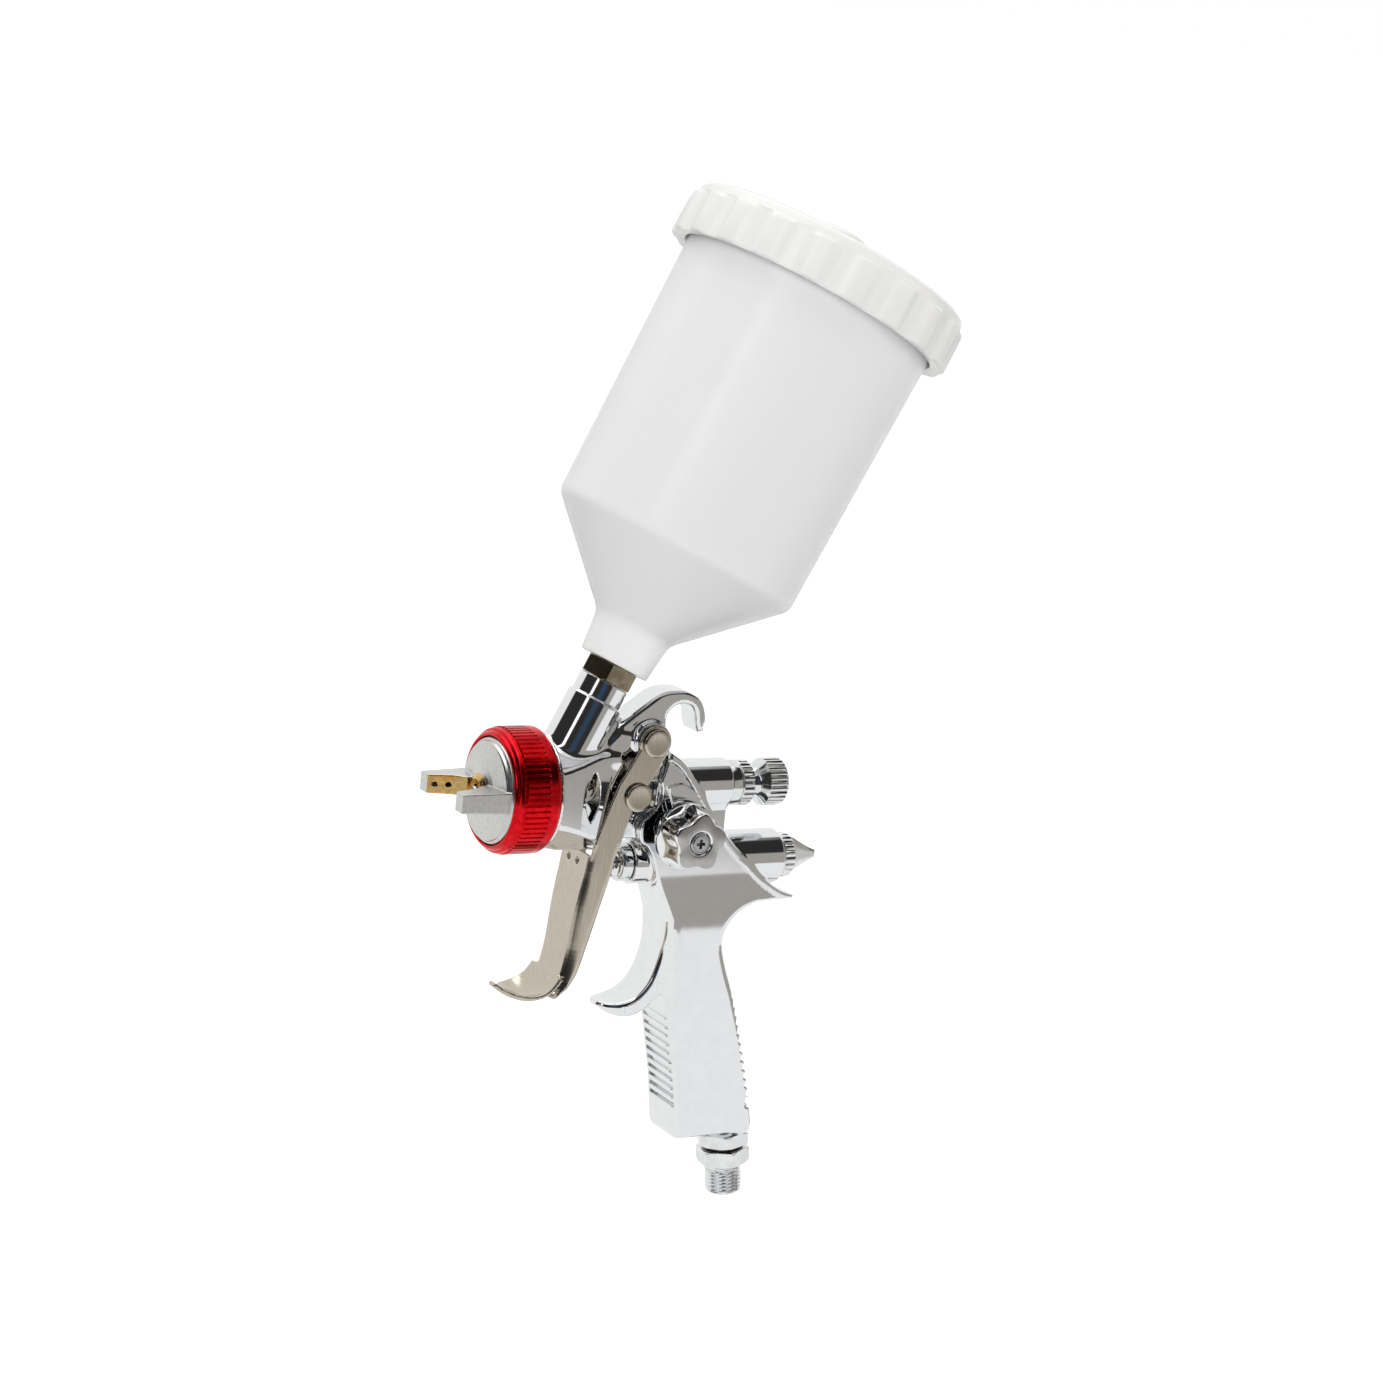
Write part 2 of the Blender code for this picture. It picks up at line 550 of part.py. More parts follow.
# ---------------------------------------------------------------- air valve

def make_air_valve(bench):
    """Stem, packing and nut, seat, disc, spring, plug, air flow knob and O-ring."""
    foot = (0.0, 0.0, LOWER_BARREL_Z)
    stem = [(-19.7, 0), (-19.7, 1.2), (-19.2, 1.7), (27.0, 1.7), (27.0, 0)]
    bench.part("air_valve_stem", "steel", [turned(stem, foot, sides=FINE)])
    nut = [(-5.6, 2.0), (-5.6, 6.2), (-5.0, 6.7), (-1.5, 6.7), (-1.5, 5.0), (2.6, 5.0), (2.6, 2.0)]
    bench.part("air_valve_nut", "chrome", [turned(nut, foot)])
    bench.part("air_valve_packing", "white_plastic", [tube(2.9, 4.9, 5.0, 2.0, foot, sides=FINE)])
    bench.part("air_valve_seat", "brass", [tube(16.3, 18.9, 7.1, 4.4, foot)])
    disc = [(19.2, 2.0), (19.2, 6.4), (21.2, 6.4), (21.2, 3.2), (25.0, 3.2), (25.0, 2.0)]
    bench.part("air_valve_disc", "brass", [turned(disc, foot)])
    bench.part("air_valve_spring", "steel", [coil(22.2, 47.0, 5.2, 0.65, 7, LOWER_BARREL_Z)])
    plug = [(48.0, 7.1), (58.5, 7.1), (58.5, 8.3), (59.3, 8.3), (59.3, 3.4), (48.0, 3.4)]
    bench.part("air_valve_plug", "chrome", [turned(plug, foot)])
    knob = [(50.0, 0), (50.0, 2.9), (53.0, 2.9), (53.0, 2.3), (55.0, 2.3), (55.0, 2.9),
            (59.6, 2.9), (59.6, 7.9, 0.35), (62.9, 7.9, 0.35), (64.0, 7.0), (64.0, 0)]
    blade = plate([(63.0, LOWER_BARREL_Z - 6.2), (63.0, LOWER_BARREL_Z + 6.2),
                   (75.3, LOWER_BARREL_Z + 1.7), (75.3, LOWER_BARREL_Z - 1.7)], -1.7, 1.7)
    bench.part("air_knob", "chrome", [turned(knob, foot, sides=28, form=lambda k: k % 2), blade])
    bench.part("air_knob_o_ring", "black_rubber", [tube(53.3, 54.7, 3.1, 2.6, foot, sides=FINE)])


# ---------------------------------------------------------------- fan valve

def make_fan_valve(bench):
    """Bush, stem, O-ring, five-lobed knob and the screw that holds it."""
    foot = (FAN_AXIS[0], 0.0, FAN_AXIS[1])
    outward = (0, -1, 0)
    bush = [(4.0, 4.9), (13.3, 4.9), (13.3, 3.0), (4.0, 3.0)]
    bench.part("fan_valve_bush", "brass", [turned(bush, foot, outward)])
    stem = [(-3.6, 0), (-3.6, 2.6), (3.0, 4.6), (3.6, 4.6), (3.6, 2.7), (6.0, 2.7), (6.0, 2.2),
            (7.4, 2.2), (7.4, 2.7), (17.4, 2.7), (17.4, 0)]
    bench.part("fan_valve_stem", "steel", [turned(stem, foot, outward, FINE)],
               [bore([(11.0, 1.5), (20.0, 0)], foot, outward, FINE)])
    bench.part("fan_stem_o_ring", "black_rubber", [tube(6.25, 7.15, 2.75, 2.45, foot, outward, FINE)])

    def lobe(k):
        """Deepest half-way between two lobes."""
        return 0.5 - 0.5 * math.cos(2 * math.pi * FAN_LOBES * k / 40)

    knob = [(25.5, 4.5), (25.5, 9.6, 2.2), (24.8, 10.4, 2.6), (17.0, 11.2, 2.4), (15.4, 11.8),
            (13.9, 11.8), (13.9, 3.0), (17.8, 3.0), (17.8, 1.7), (22.6, 1.7), (22.6, 4.5)]
    bench.part("fan_knob", "chrome", [turned(knob, foot, outward, 40, lobe)])
    screw = [(12.0, 0), (12.0, 1.2), (22.9, 1.2), (22.9, 4.15), (25.2, 4.15), (25.7, 3.4), (25.7, 0)]
    slots = []
    for run, rise in ((2.2, 0.45), (0.45, 2.2)):
        x, z = FAN_AXIS
        slot = [(x - run, z - rise), (x + run, z - rise), (x + run, z + rise), (x - run, z + rise)]
        slots.append(plate(slot, -30.0, -24.3))
    bench.part("fan_knob_screw", "dark_nickel", [turned(screw, foot, outward)], slots)


# ---------------------------------------------------------------- air inlet

def make_inlet(bench):
    """Hex collar, sealing washer and the threaded nipple that takes the hose."""
    pitch = 1.337  # 19 turns to the inch, the quarter-inch pipe thread
    bench.part("inlet_collar", "chrome", [rod(18.9, 23.6, 10.1, INLET_END, INLET_UP, 6),
                                          rod(20.0, 32.0, 5.7, INLET_END, INLET_UP)],
               [bore([(10.0, 3.6), (40.0, 0)], INLET_END, INLET_UP, FINE)])
    bench.part("inlet_seal", "black_rubber", [tube(17.6, 18.6, 7.6, 3.6, INLET_END, INLET_UP)])
    ridges = []
    for k in range(6):
        start = 0.6 + pitch * k
        ridges.extend([(start, THREAD_RADIUS - 0.7), (start + 0.5 * pitch, THREAD_RADIUS)])
    nipple = [(0.0, 0), (0.0, THREAD_RADIUS - 0.7), *ridges, (10.4, 5.7), (11.4, 5.7),
              (11.4, 8.0), (17.3, 8.0), (17.3, 0)]
    bench.part("inlet_nipple", "chrome", [turned(nipple, INLET_END, INLET_UP, 20),
                                          rod(11.6, 17.1, 9.8, INLET_END, INLET_UP, 6)],
               [bore([(-5.0, 3.4), (25.0, 0)], INLET_END, INLET_UP)])


def main():
    """Build the gun piece by piece."""
    clear_scene()
    bench = Bench()
    make_body(bench)
    make_front_end(bench)
    make_cup(bench)
    make_trigger(bench)
    make_needle(bench)
    make_air_valve(bench)
    make_fan_valve(bench)
    make_inlet(bench)


main()
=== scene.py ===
"""The looks of a gravity-feed HVLP spray gun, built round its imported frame.

Lengths in this file are millimetres in the spray frame: the origin is on the spray axis,
the paint leaves along -X, +Z is up and +Y is the gun's right side. `Spray.world` turns them
into the frame's metres, whose origin is the middle of the air inlet's end face.
"""
from __future__ import annotations

import logging
import math
from collections.abc import Callable, Sequence
from concurrent.futures import ThreadPoolExecutor
from dataclasses import dataclass, field
from enum import Enum

import bmesh
import bpy
import numpy as np
from mathutils import Matrix, Vector


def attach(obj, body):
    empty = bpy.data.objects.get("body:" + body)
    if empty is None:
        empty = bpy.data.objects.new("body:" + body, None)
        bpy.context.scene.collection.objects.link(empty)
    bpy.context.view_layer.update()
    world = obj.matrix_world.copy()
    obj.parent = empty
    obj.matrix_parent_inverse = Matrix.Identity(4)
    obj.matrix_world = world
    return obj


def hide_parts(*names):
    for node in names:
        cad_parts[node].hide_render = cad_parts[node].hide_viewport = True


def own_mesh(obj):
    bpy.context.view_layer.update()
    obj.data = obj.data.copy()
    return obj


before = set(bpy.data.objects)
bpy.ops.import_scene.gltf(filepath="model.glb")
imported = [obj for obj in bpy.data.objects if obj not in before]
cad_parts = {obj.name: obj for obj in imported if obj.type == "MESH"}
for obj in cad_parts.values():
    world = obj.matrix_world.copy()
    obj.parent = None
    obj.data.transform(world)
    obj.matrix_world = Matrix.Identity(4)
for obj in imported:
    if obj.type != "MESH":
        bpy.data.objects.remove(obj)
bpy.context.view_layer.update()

LOG = logging.getLogger("spray_gun")
MM = 0.001

Array = np.ndarray
Point2 = tuple[float, float]
Point3 = tuple[float, float, float]
Field3 = Callable[[Array, Array, Array], Array]
Shape = Callable[[Array, Array], Array]
Profile = Sequence[tuple[float, ...]]

ORIGIN: Point3 = (0.0, 0.0, 0.0)
X_AXIS: Point3 = (1.0, 0.0, 0.0)
Y_AXIS: Point3 = (0.0, 1.0, 0.0)
LEFT: Point3 = (0.0, -1.0, 0.0)

INLET_END: Point3 = (53.2, 0.0, -152.6)
INLET_LEAN = math.radians(7.6)
INLET_UP: Point3 = (-math.sin(INLET_LEAN), 0.0, math.cos(INLET_LEAN))
CUP_FOOT: Point3 = (-34.8, 0.0, 0.0)
CUP_LEAN = math.radians(25.9)
CUP_UP: Point3 = (math.sin(CUP_LEAN), 0.0, math.cos(CUP_LEAN))
LOWER_BARREL: Point3 = (0.0, 0.0, -27.2)
PIVOT: Point3 = (-0.2, 0.0, 17.8)
DRIVE: Point3 = (-5.3, 0.0, -1.1)
FAN: Point3 = (13.0, 0.0, -14.4)


class Spray:
    """The spray frame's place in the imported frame."""

    @staticmethod
    def world(points: Array) -> Array:
        """Turn spray-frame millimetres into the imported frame's metres.

        Args:
            points: an (n, 3) array in millimetres.

        Returns:
            The same points in metres.
        """
        return (np.asarray(points, float) - np.array(INLET_END)) * MM


# ---------------------------------------------------------------- finishes

class Slot(Enum):
    """The record's material slots."""

    CHROME = "chrome_body"
    KNOBS = "chrome_knobs"
    NICKEL = "satin_nickel"
    DARK_NICKEL = "dark_nickel"
    CAP = "satin_cap"
    RED = "red_ring"
    BRASS = "brass"
    STEEL = "steel"
    CUP = "cup_plastic"
    RUBBER = "black_rubber"


class Graph:
    """A material's node tree with short ways to add and join nodes."""

    def __init__(self, name: str) -> None:
        """Start an empty material with an output and a Principled shader.

        Args:
            name: the material's name.
        """
        self.material = bpy.data.materials.new(name)
        self.material.use_nodes = True
        self.tree = self.material.node_tree
        self.shader = self.tree.nodes["Principled BSDF"]

    def add(self, kind: str, **settings: object) -> bpy.types.Node:
        """Add a node.

        Args:
            kind: Blender's node type.
            settings: attributes of the node, or values of its inputs where a name
                matches an input written with underscores.

        Returns:
            The new node.
        """
        node = self.tree.nodes.new(kind)
        for key, value in settings.items():
            label = key.replace("_", " ")
            if hasattr(node, key):
                setattr(node, key, value)
            else:
                node.inputs[label].default_value = value
        return node

    def link(self, source: bpy.types.NodeSocket, target: bpy.types.NodeSocket) -> None:
        """Join two sockets."""
        self.tree.links.new(source, target)

    def set(self, **values: object) -> None:
        """Set constants on the shader's own sockets, by names written with underscores."""
        for key, value in values.items():
            self.shader.inputs[key.replace("_", " ")].default_value = value

    def noise(self, scale: float, detail: float = 3.0,
              stretch: Point3 = (1.0, 1.0, 1.0)) -> bpy.types.NodeSocket:
        """Add noise over the object's own coordinates.

        Args:
            scale: how many features in a metre.
            detail: how many octaves.
            stretch: how much denser it is along each axis.

        Returns:
            The noise's factor socket.
        """
        place = self.add("ShaderNodeTexCoord")
        mapping = self.add("ShaderNodeMapping")
        mapping.inputs["Scale"].default_value = stretch
        texture = self.add("ShaderNodeTexNoise", Scale=scale, Detail=detail)
        self.link(place.outputs["Object"], mapping.inputs["Vector"])
        self.link(mapping.outputs["Vector"], texture.inputs["Vector"])
        return texture.outputs["Fac"]

    def spread(self, source: bpy.types.NodeSocket, low: float, high: float,
               start: float = 0.35, end: float = 0.65) -> bpy.types.NodeSocket:
        """Map a noise factor onto a range.

        Args:
            source: the factor.
            low: the result at start and below.
            high: the result at end and above.
            start: the factor's low end.
            end: the factor's high end.

        Returns:
            The mapped socket.
        """
        node = self.add("ShaderNodeMapRange")
        for name, value in (("From Min", start), ("From Max", end), ("To Min", low),
                            ("To Max", high)):
            node.inputs[name].default_value = value
        self.link(source, node.inputs["Value"])
        return node.outputs["Result"]

    def tint(self, source: bpy.types.NodeSocket, low: Point3, high: Point3,
             start: float = 0.35, end: float = 0.65) -> bpy.types.NodeSocket:
        """Colour a noise factor between two tones.

        Args:
            source: the factor.
            low: the colour at start and below.
            high: the colour at end and above.
            start: the factor's low end.
            end: the factor's high end.

        Returns:
            The colour socket.
        """
        ramp = self.add("ShaderNodeValToRGB")
        ramp.color_ramp.elements[0].position = start
        ramp.color_ramp.elements[0].color = (*low, 1.0)
        ramp.color_ramp.elements[1].position = end
        ramp.color_ramp.elements[1].color = (*high, 1.0)
        self.link(source, ramp.inputs["Fac"])
        return ramp.outputs["Color"]

    def bump(self, height: bpy.types.NodeSocket, strength: float, depth: float) -> None:
        """Join a height to the shader's normal.

        Args:
            height: the height socket.
            strength: the bump's strength.
            depth: the bump's depth in metres.
        """
        node = self.add("ShaderNodeBump", Strength=strength, Distance=depth)
        previous = self.shader.inputs["Normal"].links
        if previous:
            self.link(previous[0].from_socket, node.inputs["Normal"])
        self.link(height, node.inputs["Height"])
        self.link(node.outputs["Normal"], self.shader.inputs["Normal"])


@dataclass(frozen=True)
class MetalFinish:
    """A plated, brushed or anodised metal."""

    name: str
    dark: Point3
    light: Point3
    smooth: float
    rough: float
    grain: Point3 = (1.0, 1.0, 1.0)
    grain_scale: float = 250.0
    grain_depth: float = 0.00002
    grain_strength: float = 0.06

    def build(self) -> bpy.types.Material:
        """Make the material.

        Returns:
            A metal whose tone, gloss and fine relief vary over its surface.
        """
        graph = Graph(self.name)
        graph.set(Metallic=1.0)
        grain = graph.noise(self.grain_scale, 4.0, self.grain)
        cloud = graph.noise(45.0, 2.0)
        graph.link(graph.tint(grain, self.dark, self.light), graph.shader.inputs["Base Color"])
        graph.link(graph.spread(cloud, self.smooth, self.rough),
                   graph.shader.inputs["Roughness"])
        graph.bump(grain, self.grain_strength, self.grain_depth)
        return graph.material


@dataclass(frozen=True)
class PlasticFinish:
    """A moulded plastic, milky where light sinks into it."""

    name: str
    dark: Point3
    light: Point3
    roughness: float
    sink: float = 0.0
    sink_depth: float = 0.006

    def build(self) -> bpy.types.Material:
        """Make the material.

        Returns:
            A plastic with faint flow marks and a soft gloss.
        """
        graph = Graph(self.name)
        flow = graph.noise(35.0, 2.0, (1.0, 1.0, 0.35))
        fine = graph.noise(60.0, 2.0)
        graph.set(Subsurface_Weight=self.sink, Subsurface_Scale=self.sink_depth,
                  Subsurface_Radius=(1.0, 1.0, 0.95))
        graph.link(graph.tint(flow, self.dark, self.light, 0.1, 0.9),
                   graph.shader.inputs["Base Color"])
        graph.link(graph.spread(fine, self.roughness, self.roughness + 0.06, 0.1, 0.9),
                   graph.shader.inputs["Roughness"])
        return graph.material


@dataclass(frozen=True)
class Finishes:
    """Every finish on the gun."""

    chrome: MetalFinish = MetalFinish(
        "polished_chrome", (0.83, 0.84, 0.855), (0.86, 0.87, 0.88), 0.05, 0.07,
        grain_strength=0.02)
    knobs: MetalFinish = MetalFinish(
        "turned_chrome", (0.76, 0.77, 0.78), (0.85, 0.86, 0.87), 0.08, 0.16)
    satin_chrome: MetalFinish = MetalFinish(
        "satin_chrome", (0.46, 0.455, 0.45), (0.54, 0.535, 0.53), 0.22, 0.30,
        grain_strength=0.10)
    nickel: MetalFinish = MetalFinish(
        "brushed_nickel", (0.53, 0.475, 0.395), (0.60, 0.545, 0.46), 0.17, 0.22,
        grain=(1.0, 1.0, 0.05), grain_scale=2200.0, grain_strength=0.04)
    dark_nickel: MetalFinish = MetalFinish(
        "dark_nickel_plate", (0.30, 0.25, 0.17), (0.46, 0.40, 0.29), 0.20, 0.30)
    cap: MetalFinish = MetalFinish(
        "satin_cap_metal", (0.60, 0.60, 0.58), (0.68, 0.68, 0.66), 0.24, 0.32,
        grain_scale=900.0, grain_strength=0.12)
    red: MetalFinish = MetalFinish(
        "red_anodising", (0.60, 0.006, 0.012), (0.78, 0.012, 0.02), 0.16, 0.24,
        grain_scale=500.0)
    brass: MetalFinish = MetalFinish(
        "machined_brass", (0.62, 0.40, 0.14), (0.80, 0.56, 0.24), 0.18, 0.28,
        grain_scale=700.0, grain_strength=0.15)
    steel: MetalFinish = MetalFinish(
        "machined_steel", (0.48, 0.48, 0.48), (0.60, 0.60, 0.60), 0.22, 0.32)
    cup: PlasticFinish = PlasticFinish(
        "milky_polypropylene", (0.905, 0.903, 0.90), (0.915, 0.913, 0.91), 0.20, 0.4, 0.008)
    lid: PlasticFinish = PlasticFinish(
        "white_polypropylene", (0.82, 0.815, 0.805), (0.83, 0.825, 0.815), 0.18, 0.1, 0.002)
    white: PlasticFinish = PlasticFinish(
        "white_sealing_plastic", (0.80, 0.79, 0.76), (0.86, 0.85, 0.82), 0.35)
    rubber: PlasticFinish = PlasticFinish(
        "black_rubber", (0.015, 0.015, 0.015), (0.03, 0.03, 0.03), 0.55)

    def paint(self) -> dict[str, bpy.types.Material]:
        """Build every finish once.

        Returns:
            The materials by field name.
        """
        return {name: getattr(self, name).build() for name in self.__dataclass_fields__}


# ---------------------------------------------------------------- meshes

@dataclass
class Surface:
    """Points in spray-frame millimetres, faces, and normals where they are known exactly."""

    points: Array
    faces: list[list[int]]
    normals: Array | None = None


@dataclass
class Workshop:
    """Where pieces are finished, named and put on their bodies."""

    paints: dict[str, bpy.types.Material]

    def piece(self, name: str, surface: Surface, body: str, finish: str,
              node: str, sharp: float = 32.0) -> bpy.types.Object:
        """Make one visible piece.

        Args:
            name: the piece's name.
            surface: its shape.
            body: the CAD body that it rides on.
            finish: the finish's name.
            node: the CAD node that it stands for.
            sharp: edges that turn by more than this many degrees stay crisp.

        Returns:
            The new object.
        """
        mesh = bpy.data.meshes.new(name)
        mesh.from_pydata(Spray.world(surface.points).tolist(), [], surface.faces)
        mesh.validate()
        mesh.update()
        mesh.shade_smooth()
        if surface.normals is None:
            mesh.set_sharp_from_angle(angle=math.radians(sharp))
        else:
            mesh.normals_split_custom_set_from_vertices(surface.normals.tolist())
        mesh.materials.append(self.paints[finish])
        item = bpy.data.objects.new(name, mesh)
        bpy.context.scene.collection.objects.link(item)
        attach(item, body)
        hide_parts(node)
        LOG.info("%s: %d points on %s", name, len(surface.points), body)
        return item

    def dress(self, finish: str, *nodes: str) -> None:
        """Give CAD nodes that stay their finish.

        Args:
            finish: the finish's name.
            nodes: the nodes' names.
        """
        for node in nodes:
            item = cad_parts[node]
            item.data.materials.clear()
            item.data.materials.append(self.paints[finish])
            LOG.info("%s: kept from the frame", node)


@dataclass(frozen=True)
class Corner:
    """One corner of a turned profile; `depth` is how far the piece's own shape cuts in."""

    along: float
    radius: float
    bevel: float = 0.0
    depth: float = 0.0


def rounded(corners: Sequence[Corner], closed: bool) -> list[Corner]:
    """Round a profile's corners.

    Args:
        corners: the profile's corners in order.
        closed: whether the last corner joins the first.

    Returns:
        The profile with an arc of five points in place of each corner that has a bevel.
    """
    made: list[Corner] = []
    count = len(corners)
    for k, corner in enumerate(corners):
        if corner.bevel <= 0 or (not closed and k in (0, count - 1)):
            made.append(corner)
            continue
        here = np.array((corner.along, corner.radius))
        before, after = corners[k - 1], corners[(k + 1) % count]
        back = np.array((before.along, before.radius)) - here
        ahead = np.array((after.along, after.radius)) - here
        reach = min(corner.bevel, 0.45 * np.linalg.norm(back), 0.45 * np.linalg.norm(ahead))
        start = here + back / np.linalg.norm(back) * reach
        end = here + ahead / np.linalg.norm(ahead) * reach
        for share in (0.0, 0.25, 0.5, 0.75, 1.0):
            spot = ((1 - share) ** 2 * start + 2 * share * (1 - share) * here
                    + share ** 2 * end)
            made.append(Corner(float(spot[0]), max(0.0, float(spot[1])), 0.0, corner.depth))
    return made


def frame_of(axis: Point3) -> tuple[Array, Array, Array]:
    """Directions round an axis.

    Args:
        axis: the axis's direction.

    Returns:
        The axis and two directions across it, all of length one.
    """
    along = np.array(axis, float) / np.linalg.norm(axis)
    helper = np.array((0.0, 1.0, 0.0)) if abs(along[1]) < 0.9 else np.array((0.0, 0.0, 1.0))
    across = np.cross(along, helper)
    across /= np.linalg.norm(across)
    return along, across, np.cross(along, across)


@dataclass
class Turning:
    """A piece turned round an axis, with knurls, flutes or a thread if it has them."""

    foot: Point3
    axis: Point3
    profile: Profile
    sides: int = 96
    closed: bool = False
    shape: Shape | None = None

    def build(self) -> Surface:
        """Turn the profile.

        Returns:
            The closed surface.
        """
        along, across, beside = frame_of(self.axis)
        profile = rounded([Corner(*row) for row in self.profile], self.closed)
        angles = np.arange(self.sides) * (2 * math.pi / self.sides)
        spokes = np.outer(np.cos(angles), across) + np.outer(np.sin(angles), beside)
        points: list[Array] = []
        rings: list[list[int]] = []
        total = 0
        for corner in profile:
            centre = np.array(self.foot) + corner.along * along
            if corner.radius <= 1e-6:
                points.append(centre[None, :])
                rings.append([total])
                total += 1
                continue
            reach = np.full(self.sides, corner.radius)
            if self.shape is not None and corner.depth:
                reach = reach - corner.depth * self.shape(
                    np.full(self.sides, corner.along), angles)
            points.append(centre + reach[:, None] * spokes)
            rings.append(list(range(total, total + self.sides)))
            total += self.sides
        faces: list[list[int]] = []
        pairs = list(zip(rings, rings[1:]))
        if self.closed:
            pairs.append((rings[-1], rings[0]))
        for low, high in pairs:
            faces.extend(self.band(low, high))
        spots = np.concatenate(points)
        return Surface(spots, outward(spots, faces))

    def band(self, low: list[int], high: list[int]) -> list[list[int]]:
        """Join two neighbouring rings.

        Args:
            low: one ring's points.
            high: the next ring's points.

        Returns:
            The faces between them.
        """
        count = self.sides
        if len(low) == 1 and len(high) == 1:
            return []
        if len(low) == 1:
            return [[low[0], high[k], high[(k + 1) % count]] for k in range(count)]
        if len(high) == 1:
            return [[low[k], high[0], low[(k + 1) % count]] for k in range(count)]
        return [[low[k], high[k], high[(k + 1) % count], low[(k + 1) % count]]
                for k in range(count)]


def outward(points: Array, faces: list[list[int]]) -> list[list[int]]:
    """Turn a closed mesh's faces outward.

    Args:
        points: the mesh's points.
        faces: the mesh's faces, all turned the same way.

    Returns:
        The faces, reversed if they enclosed a negative volume.
    """
    volume = 0.0
    for face in faces:
        a = points[face[0]]
        for k in range(1, len(face) - 1):
            volume += float(np.dot(a, np.cross(points[face[k]], points[face[k + 1]])))
    return faces if volume > 0 else [face[::-1] for face in faces]


def joined(*parts: Surface) -> Surface:
    """Put several surfaces into one.

    Args:
        parts: the surfaces.

    Returns:
        All their points and faces.
    """
    faces: list[list[int]] = []
    total = 0
    for part in parts:
        faces.extend([[k + total for k in face] for face in part.faces])
        total += len(part.points)
    return Surface(np.concatenate([part.points for part in parts]), faces)


def hexagon(foot: Point3, axis: Point3, low: float, high: float, radius: float,
            chamfer: float = 0.9, turn: float = 0.0) -> Surface:
    """A hexagon nut's body with chamfered ends.

    Args:
        foot: a point on its axis.
        axis: its axis.
        low: where it starts along the axis.
        high: where it ends.
        radius: from the axis to a corner.
        chamfer: how much the corners are turned off.
        turn: how far the hexagon is turned, in radians.

    Returns:
        The nut's closed surface.
    """
    def flats(along: Array, angle: Array) -> Array:
        """How far the flats lie inside the corner circle, less where the end is turned off."""
        local = np.mod(angle - turn, math.pi / 3) - math.pi / 6
        reach = radius * math.cos(math.pi / 6) / np.cos(local)
        end = np.minimum(along - low, high - along)
        cone = radius - chamfer + end * 1.9
        return radius - np.minimum(reach, cone)

    steps = [0.0, 0.12, 0.25, 0.4, 0.55, 0.75]
    spots = [low + step for step in steps] + [high - step for step in reversed(steps)]
    profile = [(low, 0.0), *[(s, radius, 0.0, 1.0) for s in spots], (high, 0.0)]
    return Turning(foot, axis, profile, shape=flats).build()


def flutes(count: int, power: int) -> Shape:
    """Rounded ribs with narrow hollows between them, narrower for a higher power."""
    return lambda along, angle: np.abs(np.sin(0.5 * count * angle)) ** power


def tube(rows: Array) -> Surface:
    """Join rows of points into a tube with flat ends.

    Args:
        rows: an (n, around, 3) array with one closed row after another.

    Returns:
        The tube's closed surface.
    """
    count, around = rows.shape[:2]
    faces = [[k * around + j, k * around + (j + 1) % around,
              (k + 1) * around + (j + 1) % around, (k + 1) * around + j]
             for k in range(count - 1) for j in range(around)]
    faces.append(list(range(around))[::-1])
    faces.append(list(range((count - 1) * around, count * around)))
    points = rows.reshape(-1, 3)
    return Surface(points, outward(points, faces))


@dataclass(frozen=True)
class Spring:
    """A compression spring along X with closed ends."""

    name: str
    node: str
    foot: Point3
    low: float
    high: float
    radius: float
    wire: float
    keep: float
    turns: float = 7.0
    around: int = 10
    steps_per_turn: int = 28

    def coil(self) -> Surface:
        """Sweep the wire round its helix.

        Returns:
            The coil's closed surface.
        """
        around, steps = self.around, int(self.turns * self.steps_per_turn)
        share = np.linspace(0.0, 1.0, steps + 1)
        eased = np.clip((share - 0.07) / 0.86, 0.0, 1.0)
        travel = self.low + self.wire + (self.high - self.low - 2 * self.wire) * (
            0.02 * share + 0.98 * eased)
        angle = 2 * math.pi * self.turns * share
        centre = np.stack([self.foot[0] + travel, self.foot[1] + self.radius * np.cos(angle),
                           self.foot[2] + self.radius * np.sin(angle)], axis=1)
        out = np.stack([np.zeros_like(angle), np.cos(angle), np.sin(angle)], axis=1)
        rounds = [centre + self.wire * (math.cos(turn) * out + math.sin(turn) * np.array(X_AXIS))
                  for turn in (2 * math.pi * k / around for k in range(around))]
        return tube(np.stack(rounds, axis=1))

    def build(self, shop: Workshop) -> None:
        """Make the spring.

        Args:
            shop: where the piece is finished.
        """
        spring = shop.piece(self.name, self.coil(), "gun", "steel", self.node)
        end = np.array([(self.high, 0.0, self.foot[2])])
        tuple(Spray.world(end)[0])
        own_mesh(spring)


# ---------------------------------------------------------------- castings

def curve(points: Sequence[Point2], steps: int = 6) -> list[Point2]:
    """A smooth run through points.

    Args:
        points: the points to pass through.
        steps: how many pieces between two points.

    Returns:
        The points of the run.
    """
    made: list[Point2] = []
    last = len(points) - 1
    for k in range(last):
        p0, p1 = points[max(k - 1, 0)], points[k]
        p2, p3 = points[k + 1], points[min(k + 2, last)]
        for j in range(steps):
            t = j / steps
            made.append(tuple(
                0.5 * (2 * b + (c - a) * t + (2 * a - 5 * b + 4 * c - d) * t * t
                       + (3 * b - a - 3 * c + d) * t ** 3)
                for a, b, c, d in zip(p0, p1, p2, p3)))
    made.append(tuple(points[last]))
    return made


def arc(centre: Point2, radius: float, start: float, end: float, steps: int) -> list[Point2]:
    """Points on an arc, with its angles in degrees."""
    return [(centre[0] + radius * math.cos(math.radians(start + (end - start) * k / steps)),
             centre[1] + radius * math.sin(math.radians(start + (end - start) * k / steps)))
            for k in range(steps + 1)]


